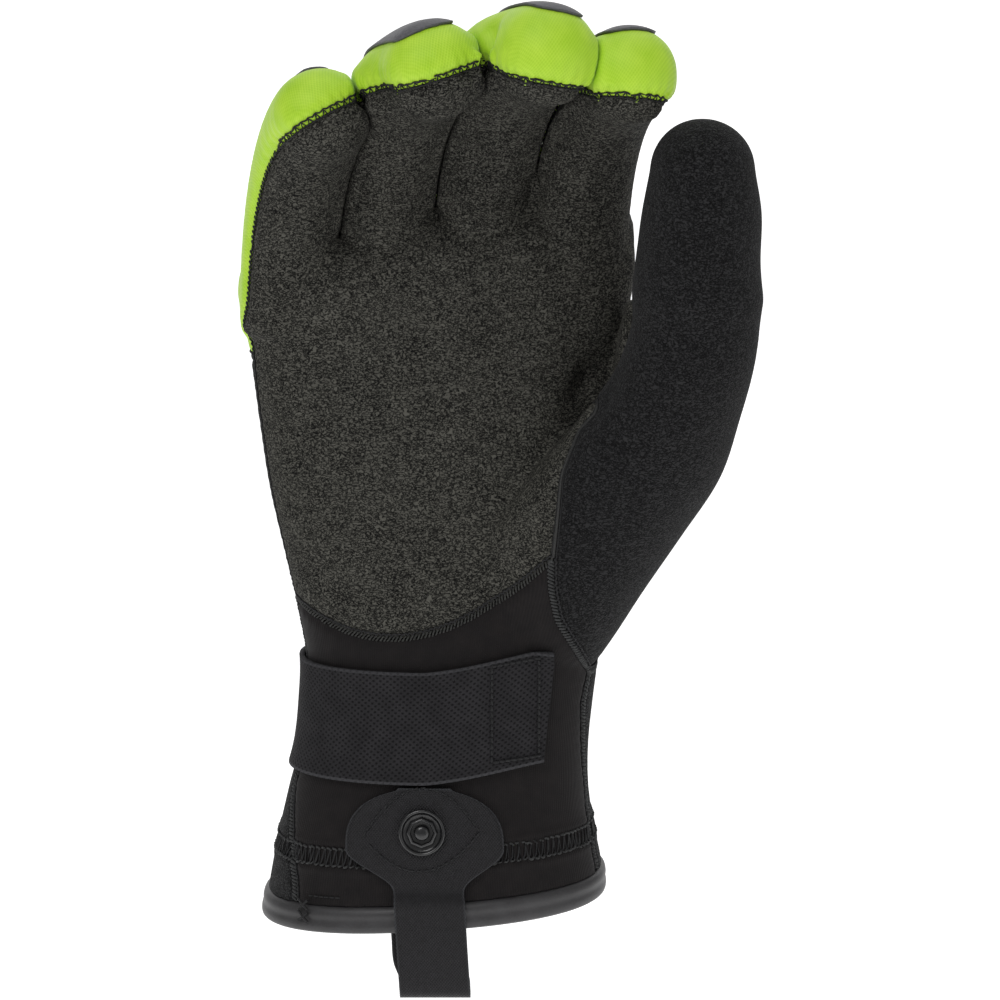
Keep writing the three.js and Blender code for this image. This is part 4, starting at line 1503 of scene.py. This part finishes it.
# The ridge shows from this height up; its two rows of short dark dashes lie aside of it
THUMB_RIDGE = {"bottom": 45, "radius": 0.5, "step": 0.8, "dash_pitch": 1.3}
# Corners (x, z) of the box stitched on the strap's end
STRAP_BOX = ((13.8, -8.8), (13.8, 16.9), (26.4, 18.6), (26.4, -7.8))
STRAP_STITCH = {"pitch": 1.7, "length": 1.15, "radius": 0.36}
# Left end, right end, and a middle point of the upper and the lower line of the tab's oval (x, z)
TAB_OVAL = {"left": (-20.9, -28.6), "right": (10.6, -27.0), "upper": (-5.1, -15.4), "lower": (-5.2, -37.2)}
TAB_STITCH = {"pitch": 1.9, "length": 1.25, "radius": 0.24}
# The rim's joint: where its two crosses stand, half their size, and the row on the rim's top edge
RIM_JOINT = {"x": -37.0, "crosses": (-48.4, -51.6), "half": 1.3, "radius": 0.36}
RIM_ROW = {"left": -36, "right": -27, "z": -44.0, "slope": 0.06}
RIM_STITCH = {"pitch": 1.7, "length": 1.1, "radius": 0.24}


def strand(name, paths, radius, material):
    """Threads of one radius along paths of points in millimetres, as a mesh."""
    curve = bpy.data.curves.new(name, "CURVE")
    curve.dimensions = "3D"
    curve.bevel_depth = radius * MM
    curve.bevel_resolution = 1
    curve.use_fill_caps = True
    for path in paths:
        spline = curve.splines.new("POLY")
        spline.points.add(len(path) - 1)
        for point, place in zip(spline.points, path):
            point.co = (*[value * MM for value in place], 1)
    obj = bpy.data.objects.new(name, curve)
    bpy.context.collection.objects.link(obj)
    only(obj)
    bpy.ops.object.convert(target="MESH")
    obj = bpy.context.active_object
    bpy.ops.object.shade_smooth()
    return dress(obj, material)


def repeated(name, base, frames, surface, lift=0.0):
    """The base set at every place and bent onto the surface there, as one mesh."""
    places, along, across = frames
    unit = coordinates(base)
    start()
    bpy.ops.mesh.primitive_circle_add(vertices=len(places), radius=1)
    obj = bpy.context.active_object
    move_to(obj, places)
    group = bpy.data.node_groups.new(name, "GeometryNodeTree")
    for way in ("INPUT", "OUTPUT"):
        group.interface.new_socket("Geometry", in_out=way, socket_type="NodeSocketGeometry")
    given, info, on_points, realized, made = (group.nodes.new(kind) for kind in (
        "NodeGroupInput", "GeometryNodeObjectInfo", "GeometryNodeInstanceOnPoints",
        "GeometryNodeRealizeInstances", "NodeGroupOutput"))
    info.inputs["Object"].default_value = base
    for out, into in (
            (given.outputs[0], on_points.inputs["Points"]),
            (info.outputs["Geometry"], on_points.inputs["Instance"]),
            (on_points.outputs[0], realized.inputs[0]),
            (realized.outputs[0], made.inputs[0])):
        group.links.new(out, into)
    only(obj)
    modifier = obj.modifiers.new(name, "NODES")
    modifier.node_group = group
    bpy.ops.object.modifier_apply(modifier=modifier.name)
    flat = places[:, None] + unit[None, :, :1] * along[:, None] + unit[None, :, 1:2] * across[:, None]
    laid = []
    for point, height in zip(flat.reshape(-1, 3), np.tile(unit[:, 2] + lift, len(places))):
        near, normal = nearest_on(surface, point)
        laid.append(near + normal * height)
    move_to(obj, np.array(laid))
    obj.name = name
    obj.data.name = name
    bpy.data.objects.remove(base)
    bpy.data.node_groups.remove(group)
    return obj


def on_surface(places, along, surface):
    """Places moved onto a surface, with the directions along and across that lie level on it."""
    found = [nearest_on(surface, place) for place in places]
    outward = np.array([normal for _, normal in found])
    across = np.cross(outward, along)
    across /= np.linalg.norm(across, axis=1)[:, None]
    return np.array([near for near, _ in found]), np.cross(across, outward), across


def seam_frames(pairs, pitch, aside=0.0, wanted=None):
    """Frames at every pitch along the seams of these pairs of panels, aside towards the second one."""
    places, directions = [], []
    for seam in FORM["seams"]:
        if (seam.low, seam.high) not in pairs or seam.length[-1] < 2 * pitch:
            continue
        place, along, across, _ = seam.at(np.arange(pitch / 2, seam.length[-1], pitch))
        place = place + across * aside
        keep = wanted(place) if wanted else slice(None)
        places.append(place[keep])
        directions.append(along[keep])
    return on_surface(np.concatenate(places), np.concatenate(directions), FORM["outside"])


def line_frames(path, pitch, surface):
    """Frames at every pitch along a line of points laid on a surface."""
    path = np.array(path, float)
    length = length_along(path)
    at = np.arange(pitch / 2, length[-1], pitch)
    place, ahead = (np.stack([np.interp(at + step, length, column) for column in path.T], 1)
                    for step in (0, 0.1))
    along = ahead - place
    along /= np.maximum(np.linalg.norm(along, axis=1), 1e-6)[:, None]
    return on_surface(place, along, surface)


def rope_stitches():
    """The corded overlock of the palm's heel, the thumb's root and the cuff's sides."""
    reach, pitch = SEAM_ROPE["reach"], SEAM_ROPE["pitch"]
    slanted = [(-0.5, -reach, 0.0), (-0.25, -0.5, 0.36), (0, 0, 0.5), (0.25, 0.5, 0.36), (0.5, reach, 0.0)]
    loop = [(-0.7, -0.1, 0.1), (-0.45, -0.6, 0.3), (0.1, -0.8, 0.34), (0.5, -0.5, 0.3), (0.7, 0, 0.1)]
    single = [(PALM, CUFF), (PALM, BACK_CUFF), (BACK, THUMB_PANEL), (BACK, BACK_CUFF)]
    double = [(THUMB_PANEL, CUFF), (CUFF, BACK_CUFF), (THUMB_PANEL, BACK_CUFF)]
    outside = FORM["outside"]
    pieces = []
    for pairs, aside, radius, cord in ((single, 0.0, 0.3, "heel_thread"), (double, 0.6, 0.4, "grey_thread")):
        thick = strand("Strand", [slanted], radius, cord)
        pieces.append(repeated("Rope", thick, seam_frames(pairs, pitch, aside), outside))
        under = strand("Loop", [loop], radius * 0.8, "black_thread")
        frames = seam_frames(pairs, SEAM_ROPE["loop_pitch"], aside + SEAM_ROPE["loop_aside"])
        pieces.append(repeated("Loops", under, frames, outside))
    return joined("Rope_seams", pieces)


def lace_stitches():
    """The black overlock between palm and finger backs, with the lime showing in its gaps."""
    pitch, depth = EDGE_LACE["pitch"], EDGE_LACE["depth"]
    up = [(-0.8, -0.4, 0.0), (-0.6, 0.1, 0.22), (-0.35, depth * 0.55, 0.25), (-0.1, depth, 0.15)]
    down = [(-0.1, depth, 0.15), (0.3, depth * 0.5, 0.24), (0.5, 0.05, 0.22), (0.65, -0.4, 0.0)]
    edge = [(-pitch * 0.55, depth * 0.86, 0.16), (-0.5, depth + 0.16, 0.24), (0, depth + 0.3, 0.26),
            (0.5, depth + 0.16, 0.24), (pitch * 0.55, depth * 0.86, 0.16)]
    base = [(-pitch * 0.55, -0.2, 0.12), (0, -0.38, 0.26), (pitch * 0.55, -0.2, 0.12)]
    barb = [(-0.5, -0.45, 0.1), (-0.3, 0.1, 0.3), (0.1, 0.6, 0.3), (0.4, 0.75, 0.1)]
    line = [(-0.8, -0.1, 0.2), (0, 0.1, 0.3), (0.8, -0.1, 0.2)]
    pairs = [(PALM, BACK)]
    open_lace = seam_frames(pairs, pitch, 0.0, lambda place: place[:, 0] > OUTER_SIDE)
    tight_lace = seam_frames(pairs, EDGE_LACE["tight_pitch"], 0.0, lambda place: place[:, 0] <= OUTER_SIDE)
    pieces = []
    for paths, radius, frames in (([up, down], 0.17, open_lace), ([edge, base], 0.25, open_lace),
                                  ([barb], 0.2, tight_lace), ([line], 0.22, tight_lace)):
        threads = strand("Lace", paths, radius, "black_thread")
        pieces.append(repeated("Lace", threads, frames, FORM["outside"]))
    return joined("Lace_seams", pieces)


def thumb_ridge():
    """The raised seam between palm and thumb, with a row of short dark dashes along each side."""
    runs = []
    for seam in FORM["seams"]:
        if (seam.low, seam.high) == (PALM, THUMB_PANEL):
            place, _, across, outward = seam.at(np.arange(0.5, seam.length[-1], THUMB_RIDGE["step"]))
            keep = place[:, 2] > THUMB_RIDGE["bottom"]
            path = (place - across * 0.1 + outward * 0.12)[keep]
            if len(path) > 8:
                runs.append(path)
    pieces = [strand("Ridge", runs, THUMB_RIDGE["radius"], "ridge_knit")]
    # Two rows of short dark dashes, one on each side of the ridge, 0.75 and 0.85 mm from its middle
    for aside, length, radius in ((-0.75, 0.5, 0.16), (0.85, 0.6, 0.2)):
        dark = strand("Dash", [[(-length, 0, 0.1), (0, 0, 0.2), (length, 0, 0.1)]], radius, "black_thread")
        frames = seam_frames([(PALM, THUMB_PANEL)], THUMB_RIDGE["dash_pitch"], aside,
                             lambda place: place[:, 2] > THUMB_RIDGE["bottom"])
        pieces.append(repeated("Dashes", dark, frames, FORM["outside"]))
    return joined("Thumb_ridge", pieces)


def cover_stitches():
    """The zigzag cover stitch round the cuff, between its ruffles."""
    tall, pitch = COVER_SEAM["height"] / 2, COVER_SEAM["pitch"]
    level = {**HAND, "rise": 0 * HAND["rise"]}
    ring = oval_ring(level, COVER_SEAM["z"], round_angles(400), HAND_OVAL, 0.3)
    ring[:, 2] += COVER_SEAM["slope"] * ring[:, 0]
    zig = [(-0.5 * pitch, -tall, 0.0), (-0.2 * pitch, -tall * 0.45, 0.34), (0.05 * pitch, tall * 0.4, 0.34),
           (0.2 * pitch, tall, 0.0)]
    zag = [(0.2 * pitch, tall, 0.0), (0.3 * pitch, tall * 0.4, 0.2), (0.5 * pitch, -tall, 0.0)]
    threads = strand("Zigzag", [zig, zag], 0.21, "black_thread")
    frames = line_frames(wrapped(ring), pitch, FORM["outside"])
    pieces = [repeated("Zigzag", threads, frames, FORM["outside"])]
    for side in (-1, 1):
        knot = [(-0.55, side * tall, 0.05), (-0.2, side * (tall + 0.25), 0.4),
                (0.2, side * (tall + 0.1), 0.42), (0.6, side * (tall - 0.35), 0.1)]
        knots = strand("Knot", [knot], 0.32, "grey_thread")
        pieces.append(repeated("Knots", knots, frames, FORM["outside"]))
    return joined("Cover_stitch", pieces)


def dashes(name, path, stitch, surface, lift, material):
    """A row of straight stitches along a line on a surface."""
    half, radius = stitch["length"] / 2, stitch["radius"]
    dash = strand("Dash", [[(-half, 0, -0.05), (-half * 0.5, 0, radius), (half * 0.5, 0, radius),
                            (half, 0, -0.05)]], radius, material)
    return repeated(name, dash, line_frames(path, stitch["pitch"], surface), surface, lift)


def palm_point(x, z, out):
    """The point at (x, z) that stands out millimetres off the hand's palm face."""
    return np.array([x, float(palm_face(x, z, out)), z])


def strap_stitches():
    """The box and the edge that hold the strap's end, in short dark stitches."""
    corners = [palm_point(x, z, 2.5) for x, z in (*STRAP_BOX, STRAP_BOX[0])]
    path = [a + (b - a) * t for a, b in zip(corners, corners[1:]) for t in np.linspace(0, 0.98, 14)]
    return dashes("Strap_stitches", path, STRAP_STITCH, FORM["strap"], STRAP["thickness"], "black_thread")


def tab_stitches():
    """The pointed oval of stitches round the snap stud."""
    left, right = TAB_OVAL["left"], TAB_OVAL["right"]
    path = []
    for first, middle, last in ((left, TAB_OVAL["upper"], right), (right, TAB_OVAL["lower"], left)):
        for x in np.linspace(first[0], last[0], 30)[:-1]:
            path.append(palm_point(x, parabola((first, middle, last), x), 2.5))
    return dashes("Tab_stitches", path, TAB_STITCH, FORM["tab"], 0.0, "web_thread")


def rim_stitches():
    """Two crossed stitches over the rim's joint and a short row along its top edge."""
    x, half = RIM_JOINT["x"], RIM_JOINT["half"]
    crosses = []
    for middle in RIM_JOINT["crosses"]:
        for slant in (-1, 1):
            crosses.append([palm_point(x + slant * aside, middle + aside, out)
                            for aside, out in ((-half, 1.3), (0, 1.7), (half, 1.3))])
    crossed = strand("Rim_cross", crosses, RIM_JOINT["radius"], "black_thread")
    row = []
    for at in np.linspace(RIM_ROW["left"], RIM_ROW["right"], 12):
        y = float(palm_face(at, MOUTH_TOP - 0.2, 0.5))
        row.append((at, y, RIM_ROW["z"] + RIM_ROW["slope"] * at))
    edge = dashes("Rim_row", row, RIM_STITCH, FORM["outside"], 0.1, "black_thread")
    return joined("Rim_stitches", [crossed, edge])


class GLOVE_OT_stitching(bpy.types.Operator):
    """Models the overlock, cover and straight stitches of all the seams"""
    bl_idname = "glove.stitching"
    bl_label = "Stitching"

    def execute(self, context):
        makers = ((rope_stitches, "plush_knit"), (lace_stitches, "elastic_web"),
                  (thumb_ridge, "plush_knit"), (cover_stitches, "elastic_web"),
                  (strap_stitches, "elastic_web"), (tab_stitches, "coated_fabric"),
                  (rim_stitches, "elastic_web"))
        for make, slot in makers:
            finished(make())
        return {"FINISHED"}


# Floor, light and camera, in metres: lamps by name, place, size and power; the camera sees a square of
# the size "view" round its target

LAMPS = (
    ("Key", (-0.35, -0.75, 0.95), 0.6, 5.6),
    ("Fill", (0.8, -0.7, 0.25), 0.8, 1.2),
    ("Top", (0.1, 0.25, 1.1), 0.8, 2.6),
)
LAMP_AIM = (0.01, 0, 0.06)
CAMERA = {"target": (0.0159, 0, 0.057), "distance": 1.25, "elevation": 10, "sensor": 36, "view": 0.27}


class GLOVE_OT_stage(bpy.types.Operator):
    """Sets the plain floor, the soft lights and the camera"""
    bl_idname = "glove.stage"
    bl_label = "Stage"

    def execute(self, context):
        start()
        bpy.ops.mesh.primitive_plane_add(size=6, location=(0, 1.5, -0.2))
        floor = context.active_object
        floor.name = "Floor"
        bpy.ops.object.mode_set(mode="EDIT")
        bpy.ops.mesh.select_all(action="DESELECT")
        bpy.ops.object.mode_set(mode="OBJECT")
        # The floor's far edge is drawn up into a wall
        for edge in floor.data.edges:
            ends = [floor.data.vertices[k].co.y for k in edge.vertices]
            edge.select = min(ends) > 0
        bpy.ops.object.mode_set(mode="EDIT")
        bpy.ops.mesh.extrude_region_move(TRANSFORM_OT_translate={"value": (0, 0, 4)})
        bpy.ops.object.mode_set(mode="OBJECT")
        modify(floor, "BEVEL", width=1.2, segments=24, limit_method="ANGLE")
        bpy.ops.object.shade_smooth()
        context.scene.view_settings.view_transform = "Standard"
        paper = Finish("Paper", roughness=0.95, emission_strength=0.7, emission_color=(1, 1, 1, 1))
        grain = paper.noise(40)
        floor.data.materials.append(paper.ends(paper.mix(grain, (0.86, 0.86, 0.86), (0.9, 0.9, 0.9))))

        world = bpy.data.worlds.new("Studio")
        world.use_nodes = True
        world.node_tree.nodes["Background"].inputs["Color"].default_value = (1, 1, 1, 1)
        world.node_tree.nodes["Background"].inputs["Strength"].default_value = 0.33
        context.scene.world = world
        for name, place, size, power in LAMPS:
            bpy.ops.object.light_add(type="AREA", location=place)
            lamp = context.active_object
            lamp.name = name
            lamp.data.size = size
            lamp.data.energy = power
            aim = Vector(LAMP_AIM) - Vector(place)
            lamp.rotation_euler = aim.to_track_quat("-Z", "Y").to_euler()

        elevation = math.radians(CAMERA["elevation"])
        away = Vector((0, -math.cos(elevation), math.sin(elevation))) * CAMERA["distance"]
        bpy.ops.object.camera_add(location=Vector(CAMERA["target"]) + away)
        camera = context.active_object
        camera.rotation_euler = (math.radians(90) - elevation, 0, 0)
        camera.data.sensor_width = CAMERA["sensor"]
        camera.data.lens = CAMERA["sensor"] * CAMERA["distance"] / CAMERA["view"]
        camera.data.clip_end = 20
        context.scene.camera = camera
        return {"FINISHED"}


class GLOVE_PT_panel(bpy.types.Panel):
    bl_idname = "GLOVE_PT_panel"
    bl_label = "Water Rescue Glove"
    bl_space_type = "VIEW_3D"
    bl_region_type = "UI"
    bl_category = "Glove"

    def draw(self, context):
        for group in (context.scene.glove_sizes, context.scene.glove_colours):
            for key in group.__annotations__:
                self.layout.prop(group, key)
        for operator in STEPS:
            self.layout.operator(operator.bl_idname)


STEPS = (
    GLOVE_OT_stage, GLOVE_OT_panels, GLOVE_OT_seal, GLOVE_OT_strap, GLOVE_OT_tab, GLOVE_OT_snap,
    GLOVE_OT_pads, GLOVE_OT_stitching,
)
CLASSES = (GloveSizes, GloveColours, *STEPS, GLOVE_PT_panel)


def register():
    for cls in CLASSES:
        bpy.utils.register_class(cls)
    bpy.types.Scene.glove_sizes = bpy.props.PointerProperty(type=GloveSizes)
    bpy.types.Scene.glove_colours = bpy.props.PointerProperty(type=GloveColours)


def unregister():
    del bpy.types.Scene.glove_sizes
    del bpy.types.Scene.glove_colours
    for cls in reversed(CLASSES):
        bpy.utils.unregister_class(cls)


def main():
    register()
    for step in STEPS:
        group, name = step.bl_idname.split(".")
        getattr(getattr(bpy.ops, group), name)()
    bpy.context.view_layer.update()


if __name__ == "__main__":
    main()
